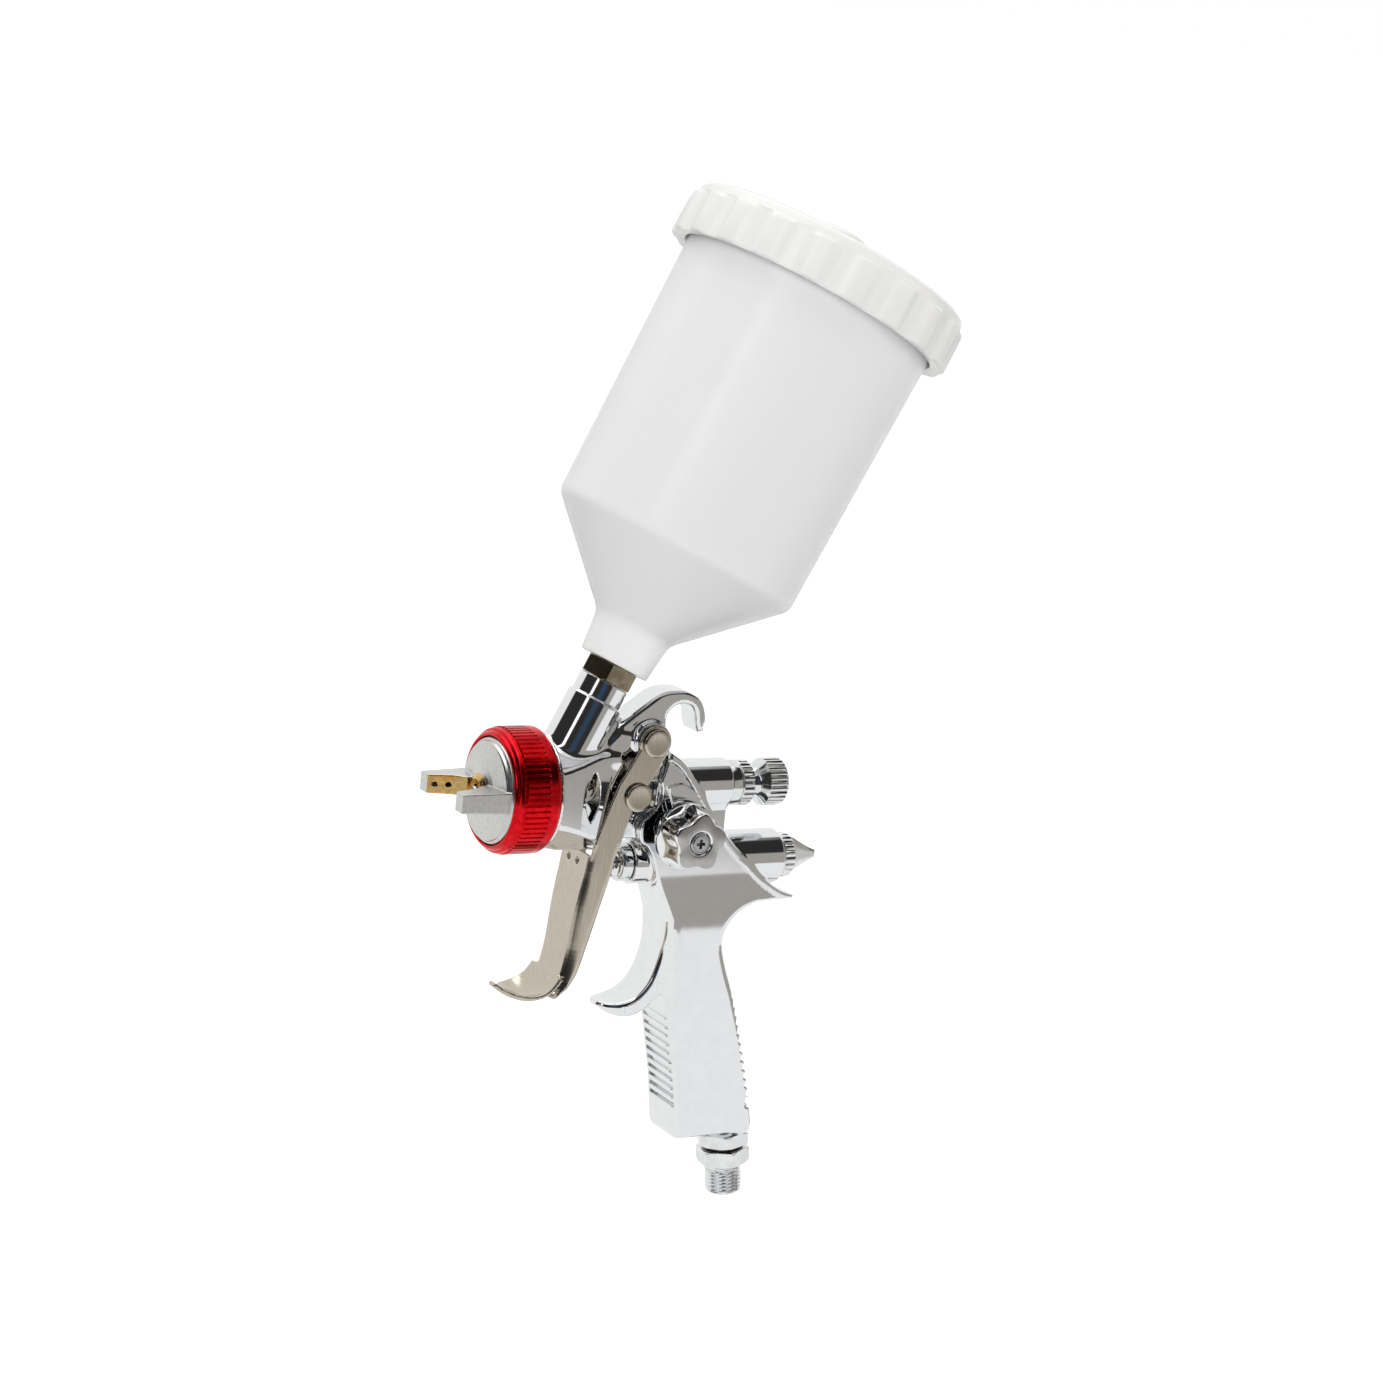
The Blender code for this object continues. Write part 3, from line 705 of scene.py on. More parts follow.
def outline(points: Sequence[Point2], u: Array, v: Array) -> Array:
    """Signed distance to a closed outline, negative inside.

    Args:
        points: the outline's corners.
        u: first coordinate.
        v: second coordinate.

    Returns:
        The distance at each place.
    """
    best: Array | None = None
    sign = np.ones(np.broadcast(u, v).shape, np.float32)
    count = len(points)
    for k in range(count):
        ax, ay = points[k]
        bx, by = points[k - 1]
        ex, ey = bx - ax, by - ay
        wx, wy = u - ax, v - ay
        share = np.clip((wx * ex + wy * ey) / (ex * ex + ey * ey + 1e-12), 0.0, 1.0)
        far = (wx - ex * share) ** 2 + (wy - ey * share) ** 2
        best = far if best is None else np.minimum(best, far)
        above, below = wy >= 0, v < by
        left = ex * wy > ey * wx
        cross = (above & below & left) | (~above & ~below & ~left)
        sign = np.where(cross, -sign, sign)
    return sign * np.sqrt(best)


def run_distance(points: Sequence[Point2], u: Array, v: Array) -> Array:
    """Distance to an open run of points.

    Args:
        points: the run's points.
        u: first coordinate.
        v: second coordinate.

    Returns:
        The distance at each place.
    """
    best: Array | None = None
    for (ax, ay), (bx, by) in zip(points, points[1:]):
        ex, ey = bx - ax, by - ay
        wx, wy = u - ax, v - ay
        share = np.clip((wx * ex + wy * ey) / (ex * ex + ey * ey + 1e-12), 0.0, 1.0)
        far = (wx - ex * share) ** 2 + (wy - ey * share) ** 2
        best = far if best is None else np.minimum(best, far)
    return np.sqrt(best)


def slab(flat: Array, across: Array, half: float | Array, edge: float | Array) -> Array:
    """Give an outline's distance a thickness with rounded edges.

    Args:
        flat: the outline's signed distance.
        across: the coordinate through the thickness, zero in the middle.
        half: half the thickness.
        edge: the edges' radius.

    Returns:
        The solid's signed distance.
    """
    a, b = flat + edge, np.abs(across) - half + edge
    return (np.sqrt(np.maximum(a, 0) ** 2 + np.maximum(b, 0) ** 2)
            + np.minimum(np.maximum(a, b), 0) - edge)


def rod(x: Array, y: Array, z: Array, foot: Point3, axis: Point3, low: float, high: float,
        radius: float, edge: float = 0.0) -> Array:
    """Signed distance to a round rod with flat ends.

    Args:
        x: X of each place.
        y: Y of each place.
        z: Z of each place.
        foot: a point on the rod's axis.
        axis: the axis's direction.
        low: where the rod starts along the axis.
        high: where it ends.
        radius: its radius.
        edge: its edges' radius.

    Returns:
        The distance at each place.
    """
    ax, ay, az = axis
    size = math.sqrt(ax * ax + ay * ay + az * az)
    ax, ay, az = ax / size, ay / size, az / size
    dx, dy, dz = x - foot[0], y - foot[1], z - foot[2]
    along = dx * ax + dy * ay + dz * az
    away = np.sqrt(np.maximum(dx * dx + dy * dy + dz * dz - along * along, 0.0))
    return slab(away - radius, along - 0.5 * (low + high), 0.5 * (high - low), edge)


def weld(a: Array, b: Array, fillet: float) -> Array:
    """Union of two solids with a fillet between them."""
    near = np.maximum(fillet - np.abs(a - b), 0.0) / fillet
    return np.minimum(a, b) - near * near * fillet * 0.25


def carve(a: Array, b: Array, edge: float) -> Array:
    """Solid a less solid b, with the new edge eased."""
    return -weld(-a, b, edge)


@dataclass
class Casting:
    """A solid described by a distance field, and the fine mesh of its surface."""

    surface: Field3
    low: Point3
    high: Point3
    step: float

    threads = 4
    shares = 12
    slope_reach = 0.05

    def build(self) -> Surface:
        """Mesh the surface.

        Returns:
            Its points, four-sided faces and normals.
        """
        axes = [np.arange(lo, hi + self.step, self.step, dtype=np.float32)
                for lo, hi in zip(self.low, self.high)]
        shape = tuple(len(a) for a in axes)

        def sheet(x: Array) -> Array:
            """The field over one stretch of X."""
            made = self.surface(x[:, None, None], axes[1][None, :, None],
                                axes[2][None, None, :])
            return np.broadcast_to(made, (len(x), *shape[1:])).astype(np.float32)

        values = self.shared(sheet, axes[0])
        cells, number = self.cells(values)
        points = self.crossings(values, cells)
        faces = self.quads(values < 0, number)
        points = points * self.step + np.array([a[0] for a in axes])
        slope = self.shared(self.slope, points)
        size = np.maximum((slope ** 2).sum(1), 0.25)
        for _ in range(2):
            value = self.shared(lambda p: self.surface(p[:, 0], p[:, 1], p[:, 2]),
                                points.astype(np.float32))
            move = np.clip(value / size, -0.5 * self.step, 0.5 * self.step)
            points = points - move[:, None] * slope
        slope = self.shared(self.slope, points)
        normals = slope / np.maximum(np.linalg.norm(slope, axis=1), 1e-6)[:, None]
        used = np.zeros(len(points), bool)
        used[faces.ravel()] = True
        order = np.cumsum(used) - 1
        return Surface(points[used], order[faces].tolist(), normals[used])

    @classmethod
    def shared(cls, work: Callable[[Array], Array], places: Array) -> Array:
        """Do the same work on many places, a share in each thread.

        Args:
            work: what to do with some of the places.
            places: all the places.

        Returns:
            The results, in the places' order.
        """
        with ThreadPoolExecutor(cls.threads) as pool:
            return np.concatenate(list(pool.map(work, np.array_split(places, cls.shares))))

    @staticmethod
    def cells(values: Array) -> tuple[Array, Array]:
        """Find the cells that the surface passes through.

        Args:
            values: the field on the grid.

        Returns:
            The cells' indices and a grid that numbers them.
        """
        inside = values < 0
        count = np.zeros(tuple(n - 1 for n in values.shape), np.int8)
        for i in (0, 1):
            for j in (0, 1):
                for k in (0, 1):
                    count += inside[i:i + count.shape[0], j:j + count.shape[1],
                                    k:k + count.shape[2]]
        mixed = (count > 0) & (count < 8)
        number = np.full(count.shape, -1, np.int64)
        cells = np.argwhere(mixed)
        number[mixed] = np.arange(len(cells))
        return cells, number

    @staticmethod
    def crossings(values: Array, cells: Array) -> Array:
        """Place one point in each cell, midway between the crossings of its edges.

        Args:
            values: the field on the grid.
            cells: the cells' indices.

        Returns:
            The points in grid steps.
        """
        total = np.zeros((len(cells), 3))
        share = np.zeros(len(cells))
        ends = [np.array((i, j, k)) for i in (0, 1) for j in (0, 1) for k in (0, 1)]
        for a in ends:
            for axis in range(3):
                if a[axis]:
                    continue
                b = a.copy()
                b[axis] = 1
                va = values[tuple((cells + a).T)]
                vb = values[tuple((cells + b).T)]
                cut = (va < 0) != (vb < 0)
                t = np.where(cut, va / np.where(cut, va - vb, 1.0), 0.0)
                spot = a + t[:, None] * (b - a)
                total += np.where(cut[:, None], spot, 0.0)
                share += cut
        return cells + total / np.maximum(share, 1)[:, None]

    @staticmethod
    def quads(inside: Array, number: Array) -> Array:
        """Join the points of the four cells round each crossed grid edge.

        Args:
            inside: whether each grid point is inside the solid.
            number: the grid that numbers the cells.

        Returns:
            The faces as an (n, 4) array.
        """
        made: list[Array] = []
        for axis in range(3):
            one, two = [(1, 2), (2, 0), (0, 1)][axis]
            low = [slice(1, -1)] * 3
            high = [slice(1, -1)] * 3
            low[axis], high[axis] = slice(0, -1), slice(1, None)
            start, end = inside[tuple(low)], inside[tuple(high)]
            crossed = np.argwhere(start != end)
            spot = crossed.copy()
            spot[:, one] += 1
            spot[:, two] += 1
            corners = []
            for da, db in ((0, 0), (-1, 0), (-1, -1), (0, -1)):
                cell = spot.copy()
                cell[:, one] += da
                cell[:, two] += db
                corners.append(number[tuple(cell.T)])
            face = np.stack(corners, axis=1)
            leaves = start[tuple(crossed.T)]
            face[~leaves] = face[~leaves][:, ::-1]
            made.append(face)
        return np.concatenate(made)

    def slope(self, points: Array) -> Array:
        """The field's slope at points.

        Args:
            points: places in millimetres.

        Returns:
            The slopes.
        """
        reach = self.slope_reach
        x, y, z = (points[:, k].astype(np.float32) for k in range(3))
        slope = np.stack([
            self.surface(x + reach, y, z) - self.surface(x - reach, y, z),
            self.surface(x, y + reach, z) - self.surface(x, y - reach, z),
            self.surface(x, y, z + reach) - self.surface(x, y, z - reach)], axis=1)
        return slope.astype(float) / (2 * reach)


# ---------------------------------------------------------------- gun body

@dataclass
class GunBody:
    """The plated casting: head, cup boss, hook, neck, cheeks, barrels, guard and grip."""

    step: float = 0.5
    head_radius: float = 20.5
    neck_half: float = 6.6
    hook_half: float = 6.0
    cheek_half: float = 10.6
    guard_half: float = 8.0
    guard_start: float = 3.1
    guard_reach: float = 12.4
    web_half: float = 6.2
    upper_radius: float = 9.0
    lower_radius: float = 9.7
    ridge_width: float = 2.7
    ridge_rise: float = 0.9
    ridge_fade: tuple[float, float] = (-30.0, 22.0)
    tip_thinning: float = 5.6
    pad_reach: float = 17.4
    pad_taper: float = 6.6
    pad_middle: float = 1.20
    pad_half: float = 0.74
    window_radius: float = 14.2
    front_slots: int = 11
    front_slot: tuple[float, float] = (0.62, 2.9)
    rear_slots: int = 14
    rear_slot: tuple[float, float] = (0.8, 3.6)
    rear_slope: float = 0.27
    hook_outer: tuple[Point2, ...] = (
        (-19.0, 10.0), (-13.0, 21.6), (-1.6, 30.7), (3.7, 33.9), (9.0, 34.7), (14.1, 34.2),
        (19.4, 31.1), (21.8, 25.2), (21.3, 20.2))
    hook_inner: tuple[Point2, ...] = (
        (19.0, 19.8), (18.0, 22.5), (17.0, 27.0), (14.7, 29.4), (11.4, 29.9), (8.3, 28.6),
        (6.3, 25.5), (6.6, 20.0), (8.0, 8.0))
    neck: tuple[Point2, ...] = (
        (-38.0, 12.0), (-38.0, -16.5), (-33.0, -19.4), (-22.0, -19.8), (-14.5, -21.0),
        (-12.5, -20.2), (-8.6, -17.0), (10.0, -17.6), (16.0, -8.0), (10.0, 10.0),
        (5.0, 17.0), (-12.0, 20.0), (-20.0, 16.0))
    head_side: tuple[Point2, ...] = (
        (-40.0, 20.0), (-34.0, 19.6), (-28.0, 17.4), (-21.0, 14.5), (-12.0, 13.0), (-6.0, 6.0),
        (-6.0, -10.0), (-9.5, -17.0), (-11.6, -21.0), (-12.8, -22.8), (-15.0, -23.4),
        (-17.6, -22.6), (-19.6, -20.9), (-33.0, -20.2), (-40.0, -20.2))
    ridge: tuple[Point2, ...] = (
        (6.6, 14.2), (11.4, 11.2), (15.1, 7.5), (20.9, 0.0), (26.9, -9.0), (32.7, -16.5),
        (40.3, -24.2), (49.8, -32.4), (59.0, -38.2), (66.5, -41.2))
    back: tuple[Point2, ...] = (
        (65.8, -42.4), (56.0, -41.8), (47.5, -42.0), (41.6, -45.2), (37.6, -50.3),
        (36.4, -56.5), (39.0, -65.5), (43.2, -76.0), (47.6, -91.0), (52.3, -109.0),
        (55.6, -124.5))
    foot: tuple[Point2, ...] = ((55.2, -126.8), (53.6, -127.6), (27.6, -128.4),
                                (25.2, -127.8), (24.2, -126.0))
    front: tuple[Point2, ...] = (
        (21.6, -109.0), (18.7, -96.0), (16.4, -84.8), (15.6, -74.0), (15.7, -62.0),
        (14.2, -53.8), (11.3, -43.1), (8.3, -35.0), (5.8, -28.6), (3.7, -22.9),
        (1.5, -19.5), (-1.4, -17.6), (-2.6, -13.5), (-1.8, -9.9))
    guard_top: tuple[Point2, ...] = (
        (14.5, -50.0), (12.0, -60.0), (9.0, -69.0), (4.0, -74.6), (-2.0, -76.6),
        (-8.2, -76.7))
    guard_under: tuple[Point2, ...] = (
        (-8.9, -78.2), (-4.5, -80.7), (1.0, -81.6), (7.3, -79.8), (13.1, -74.3),
        (18.5, -66.0))

    def cheek_outline(self) -> list[Point2]:
        """The cheek and grip seen from the side."""
        return [*curve(self.ridge, 5), *curve(self.back, 5), *self.foot,
                *curve(self.front, 5), *arc((-4.3, -0.6), 9.4, -60, 25, 12), (5.9, 9.0)]

    def cheek_side(self, x: Array, z: Array) -> Array:
        """Half the cheeks' thickness, less towards the tip of the horn over the hand."""
        return self.cheek_half - self.tip_thinning * (
            np.clip((x - 45.0) / 21.0, 0.0, 1.0) * np.clip((z + 62.0) / 10.0, 0.0, 1.0))

    def head(self, x: Array, away: Array) -> Array:
        """The head's turned shape.

        Args:
            x: X of each place.
            away: distance from the spray axis.

        Returns:
            The signed distance.
        """
        profile = [(-50.5, -9.0), (-50.5, 18.3), (-49.9, 18.9), (-40.2, 18.9), (-40.2, 20.0),
                   (-39.7, self.head_radius), (-38.9, self.head_radius), (-38.6, 20.1),
                   (-36.0, 12.0), (-31.0, 12.0), (-31.0, -9.0)]
        return outline(profile, x, away)

    def solid(self, x: Array, y: Array, z: Array, flat: Array) -> Array:
        """The casting before its bores and slots are cut.

        Args:
            x: X of each place.
            y: Y of each place.
            z: Z of each place.
            flat: signed distance to the cheek's outline.

        Returns:
            The signed distance.
        """
        away = np.sqrt(y * y + z * z)
        out = np.abs(y)
        narrow = np.interp(x, (-42.0, -38.0, -34.0, -28.0, -22.0, -15.0, -8.0),
                           (17.6, 16.8, 15.8, 13.8, 11.4, 9.0, 7.8)).astype(np.float32)
        block = slab(outline(self.head_side, x, z), y, narrow, 1.5)
        block = carve(block, 20.4 - away, 1.5)
        block = carve(block, 16.6 - 0.5 * out - 0.866 * z, 2.0)
        block = carve(block, 18.6 - 0.707 * (out - z), 0.8)
        head = weld(self.head(x, away), block, 0.6)
        neck = slab(outline(self.neck, x, z), y, self.neck_half, 1.2)
        hook = slab(outline([*curve(self.hook_outer), *curve(self.hook_inner)], x, z), y,
                    self.hook_half, 1.6)
        share = np.clip((-z - 16.0) / 40.0, 0.0, 1.0)
        edge = 1.1 + 1.9 * share * share * (3 - 2 * share) * np.clip(
            (52.0 - x) / 10.0, 0.0, 1.0)
        cheek = slab(flat, y, self.cheek_side(x, z), edge)
        reach = np.clip((self.guard_start - x) / self.guard_reach, 0.0, 1.0)
        guard = slab(outline([*curve(self.guard_top), *curve(self.guard_under)], x, z), y,
                     self.guard_half * np.sqrt(1.0 - 0.96 * reach ** 2), 1.4)
        web = slab(outline([(14.0, -3.0), (34.0, -1.0), (34.0, -22.0), (14.0, -24.0)], x, z),
                   y, self.web_half, 1.5)
        boss = weld(rod(x, y, z, CUP_FOOT, CUP_UP, 3.0, 34.6, 9.85, 0.7),
                    rod(x, y, z, CUP_FOOT, CUP_UP, 10.0, 41.4, 8.9, 0.3), 0.4)
        upper = rod(x, y, z, ORIGIN, X_AXIS, -6.0, 34.2, self.upper_radius, 0.7)
        lower = rod(x, y, z, LOWER_BARREL, X_AXIS, 6.0, 58.2, self.lower_radius, 0.9)
        sleeve = rod(x, y, z, LOWER_BARREL, X_AXIS, -1.2, 14.0, 7.8, 0.5)
        pivot = rod(x, y, z, PIVOT, Y_AXIS, -9.2, 9.2, 6.7, 0.5)
        fan = rod(x, y, z, FAN, Y_AXIS, -13.2, 2.0, 11.3, 0.3)

        body = weld(head, neck, 3.0)
        body = weld(body, boss, 1.8)
        body = weld(body, hook, 4.0)
        body = weld(body, upper, 3.0)
        body = weld(body, cheek, 1.2)
        body = weld(body, guard, 5.0)
        body = weld(body, weld(lower, web, 4.0), 1.2)
        body = weld(body, sleeve, 1.5)
        body = weld(body, pivot, 1.6)
        return weld(body, fan, 0.8)

    def relief(self, x: Array, y: Array, z: Array, flat: Array) -> Array:
        """What is taken off the cheeks' sides to leave the raised ridge and the arched pad.

        Args:
            x: X of each place.
            y: Y of each place.
            z: Z of each place.
            flat: signed distance to the cheek's outline.

        Returns:
            The signed distance of what is cut away.
        """
        rim = run_distance(curve(self.ridge, 5), x, z)
        inside = np.maximum(flat, self.ridge_width - rim)
        fade = np.clip((self.ridge_fade[0] - z) / self.ridge_fade[1], 0.0, 1.0)
        floor = (self.cheek_side(x, z)
                 - self.ridge_rise * (1.0 - fade * fade * (3 - 2 * fade)))
        sides = np.maximum(inside, floor - np.abs(y))
        from_fan = np.sqrt((x - FAN[0]) ** 2 + (z - FAN[2]) ** 2)
        turn = np.arctan2(z - FAN[2], x - FAN[0])
        reach = self.pad_reach - self.pad_taper * np.clip(1.60 - turn, 0.0, 1.0)
        pad = np.maximum(from_fan - reach,
                         (np.abs(turn - self.pad_middle) - self.pad_half) * 15.0)
        return np.maximum(sides, -np.maximum(pad, y))

    def cuts(self, x: Array, y: Array, z: Array) -> Array:
        """The window, slots, bores and passages.

        Args:
            x: X of each place.
            y: Y of each place.
            z: Z of each place.

        Returns:
            The signed distance of everything cut away.
        """
        away = np.sqrt(y * y + z * z)
        main = outline([(-53.0, -9.0), (-53.0, 16.2), (-46.6, 16.2), (-46.6, 4.6),
                        (-31.4, 4.6), (-31.4, 1.5), (-30.2, 1.5), (-30.2, 3.2),
                        (-25.0, 3.2), (-25.0, 1.7), (-1.9, 1.7), (-1.9, 6.2), (50.0, 6.2),
                        (50.0, -9.0)], x, away)
        leaf = np.maximum(np.hypot(x + 12.2, z + 0.4), np.hypot(x + 34.2, z + 0.4))
        leaf = leaf - self.window_radius
        window = np.maximum(leaf, np.abs(y) - 30.0)
        clear = np.sqrt((x + 4.3) ** 2 + (z + 0.6) ** 2) - 9.3
        clear = np.maximum(clear, self.neck_half + 2.0 - np.abs(y))
        slot = outline([(-9.9, -6.2), (3.4, -6.2), (3.4, 3.4), (-9.9, 3.4)], x, z)
        made = np.minimum(np.minimum(main, window), np.minimum(clear, slot))
        for foot, axis, low, high, radius in (
                (CUP_FOOT, CUP_UP, 0.0, 60.0, 4.95), (LOWER_BARREL, X_AXIS, -3.0, 5.2, 5.3),
                (LOWER_BARREL, X_AXIS, -3.0, 17.0, 2.4),
                (LOWER_BARREL, X_AXIS, 16.0, 70.0, 7.4), (FAN, Y_AXIS, -16.0, 5.0, 5.2),
                (INLET_END, INLET_UP, 10.0, 34.0, 6.0), (PIVOT, Y_AXIS, -20.0, 20.0, 2.8)):
            made = np.minimum(made, rod(x, y, z, foot, axis, low, high, radius))
        return made

    def front_comb(self, x: Array, y: Array, z: Array) -> Array:
        """The finger grooves across the grip's front.

        Args:
            x: X of each place.
            y: Y of each place.
            z: Z of each place.

        Returns:
            The signed distance of the grooves.
        """
        best: Array | None = None
        high, deep = self.front_slot
        for k in range(self.front_slots):
            share = k / (self.front_slots - 1)
            cx, cz = 13.9 + 8.0 * share, -82.0 - 33.0 * share
            flat = np.maximum(np.abs(z - cz) - high, np.abs(x - cx) - deep)
            made = np.maximum(flat, np.abs(y + 0.6) - 8.4)
            best = made if best is None else np.minimum(best, made)
        return best

    def rear_comb(self, x: Array, y: Array, z: Array) -> Array:
        """The palm grooves across the grip's back and the shallow pocket by the lowest one.

        Args:
            x: X of each place.
            y: Y of each place.
            z: Z of each place.

        Returns:
            The signed distance of the grooves.
        """
        best: Array | None = None
        high, deep = self.rear_slot
        for k in range(self.rear_slots):
            share = k / (self.rear_slots - 1)
            cx, cz = 44.9 + 11.8 * share, -73.0 - 44.0 * share
            tilt = (z - cz) + self.rear_slope * (x - cx)
            groove = np.maximum(np.abs(tilt) - high, np.abs(x - cx) - deep)
            best = groove if best is None else np.minimum(best, groove)
        rows = np.maximum(best, np.abs(y) - 12.0)
        band = (run_distance(curve(self.back[5:], 5), x, z)
                - 5.2 * np.clip((-57.0 - z) / 18.0, 0.0, 1.0))
        ends = np.maximum(np.abs(z + 89.0) - 31.0, band)
        pocket = np.maximum(np.maximum(groove - 1.0, ends), 8.7 - np.abs(y))
        return np.minimum(rows, pocket)

    def field(self, x: Array, y: Array, z: Array) -> Array:
        """The finished casting.

        Args:
            x: X of each place.
            y: Y of each place.
            z: Z of each place.

        Returns:
            The signed distance.
        """
        flat = outline(self.cheek_outline(), x, z)
        body = carve(self.solid(x, y, z, flat), self.relief(x, y, z, flat), 0.5)
        body = carve(body, self.front_comb(x, y, z), 0.6)
        body = carve(body, self.rear_comb(x, y, z), 0.7)
        return carve(body, self.cuts(x, y, z), 0.35)

    def build(self, shop: Workshop) -> None:
        """Make the casting.

        Args:
            shop: where the piece is finished.
        """
        made = Casting(
            self.field, (-52.0, -21.5, -130.0), (68.5, 21.5, 42.5), self.step).build()
        shop.piece("gun_casting", made, "gun", "chrome", "gun_body")


# ---------------------------------------------------------------- front end

@dataclass
class FrontEnd:
    """Paint nozzle, air cap and the knurled ring that holds the cap."""

    cap_step: float = 0.26
    cap_radius: float = 18.2
    horn_tip: float = -74.8
    horn_half: float = 3.6
    cap_holes: tuple[float, float] = (-67.8, -71.9)
    ring_radius: float = 21.8
    ring_ribs: int = 66

    def horn(self, x: Array, y: Array, z: Array) -> Array:
        """Both horns, tapered towards their tips, with slanted inner faces.

        Args:
            x: X of each place.
            y: Y of each place.
            z: Z of each place.

        Returns:
            The signed distance.
        """
        out = np.abs(y)
        side = outline([(-55.0, 7.0), (-62.6, 5.6), (-66.0, 8.6), (self.horn_tip, 11.2),
                        (self.horn_tip, 16.4), (-57.2, 17.5), (-55.0, 17.5)], x, out)
        taper = self.horn_half - 0.02 * np.maximum(-58.0 - x, 0.0)
        return slab(side, z, taper, 0.35)

    def cap(self, x: Array, y: Array, z: Array) -> Array:
        """The air cap with its horns and air holes.

        Args:
            x: X of each place.
            y: Y of each place.
            z: Z of each place.

        Returns:
            The signed distance.
        """
        away = np.sqrt(y * y + z * z)
        disc = outline([(-62.2, -3.0), (-62.2, 4.3), (-61.9, 4.7), (-60.5, 7.2), (-59.9, 9.0),
                        (-58.6, 16.4), (-58.3, 16.9), (-57.4, 17.2), (-57.1, 17.9),
                        (-56.6, self.cap_radius), (-53.4, self.cap_radius), (-53.4, 18.9),
                        (-51.8, 18.9), (-51.8, 17.0), (-55.0, 16.0), (-57.0, 6.0),
                        (-57.0, -3.0)], x, away)
        made = weld(disc, self.horn(x, y, z), 0.5)
        throat = outline([(-70.0, -3.0), (-70.0, 2.3), (-56.0, 2.6), (-56.0, -3.0)], x, away)
        made = carve(made, throat, 0.15)
        for along in self.cap_holes:
            hole = rod(x, np.abs(y), z, (along, 9.4, 0.0), (-0.35, 1.0, 0.0), -4.0, 4.2, 0.85)
            made = np.maximum(made, -hole)
        for k in range(4):
            turn = math.pi * (0.25 + 0.5 * k)
            spot = (-62.0, 5.6 * math.cos(turn), 5.6 * math.sin(turn))
            made = np.maximum(made, -rod(x, y, z, spot, X_AXIS, -4.0, 3.2, 0.42))
        return made

    def build_cap(self, shop: Workshop) -> None:
        """Make the air cap, with raw brass on its horns' inner faces.

        Args:
            shop: where the piece is finished.
        """
        made = Casting(self.cap, (-76.0, -19.6, -19.6), (-51.2, 19.6, 19.6),
                       self.cap_step).build()
        cap = shop.piece("spray_cap", made, "air_cap", "cap", "air_cap")
        cap.data.materials.append(shop.paints["brass"])
        index = np.array(made.faces)
        middle, facing = made.points[index].mean(1), made.normals[index].mean(1)
        inner = ((middle[:, 0] < -62.0) & (facing[:, 1] * np.sign(middle[:, 1]) < -0.45)
                 & (np.abs(middle[:, 1]) > 5.2))
        away = np.hypot(middle[:, 1], middle[:, 2])
        centre = (middle[:, 0] < -60.9) & (away < 6.2)
        cap.data.polygons.foreach_set("material_index", (inner | centre).astype(np.int32))

    def build_ring(self, shop: Workshop) -> None:
        """Make the knurled ring.

        Args:
            shop: where the piece is finished.
        """
        ribs = self.ring_ribs

        def knurl(along: Array, angle: Array) -> Array:
            """A narrow groove between two wide flat ribs."""
            wave = 0.5 - 0.5 * np.cos(ribs * angle)
            return np.clip((wave - 0.74) / 0.24, 0.0, 1.0)

        r = self.ring_radius
        corners = [
            (-54.7, 18.6), (-56.6, 18.6, 0.25), (-57.0, 18.9, 0.2), (-57.0, 19.5, 0.3),
            (-56.2, 20.2, 0.3), (-55.7, 20.2, 0.2), (-55.5, 20.5, 0.2), (-55.2, 21.2, 0.5),
            (-54.2, 21.45, 0.3), (-53.7, 21.1, 0.2), (-53.45, 21.1, 0.1, 0.0),
            (-53.3, r - 0.45, 0.1, 0.15), (-53.0, r, 0.0, 0.75), (-52.6, r, 0.0, 0.8),
            (-48.0, r, 0.0, 0.8), (-45.2, r, 0.0, 0.8), (-44.6, r, 0.0, 0.45),
            (-44.2, r, 0.0, 0.0), (-41.4, r, 0.6), (-40.5, 21.2, 0.2), (-40.5, 20.8),
            (-40.5, 20.75), (-40.6, 19.6), (-54.7, 19.6)]
        made = Turning(ORIGIN, X_AXIS, corners, ribs * 10, True, knurl).build()
        shop.piece("knurled_ring", made, "air_cap_ring", "red", "air_cap_ring", 28.0)

    def build(self, shop: Workshop) -> None:
        """Make the front end's pieces.

        Args:
            shop: where the pieces are finished.
        """
        nozzle = [(-54.0, 2.6), (-63.2, 0.7, 0.1), (-63.4, 0.8, 0.1), (-63.4, 1.8, 0.3),
                  (-58.5, 2.15, 0.3), (-57.6, 2.4, 0.3), (-54.5, 4.6, 0.4), (-52.2, 7.6, 0.4),
                  (-46.9, 7.6, 0.3), (-46.9, 4.3, 0.2), (-36.6, 4.3, 0.2), (-36.6, 2.8)]
        made = Turning(ORIGIN, X_AXIS, nozzle, 64, True).build()
        shop.piece("paint_nozzle", made, "gun", "steel", "fluid_nozzle")
        self.build_cap(shop)
        self.build_ring(shop)
        shop.dress("white", "air_distributor", "cap_slip_washer")


# ---------------------------------------------------------------- cup

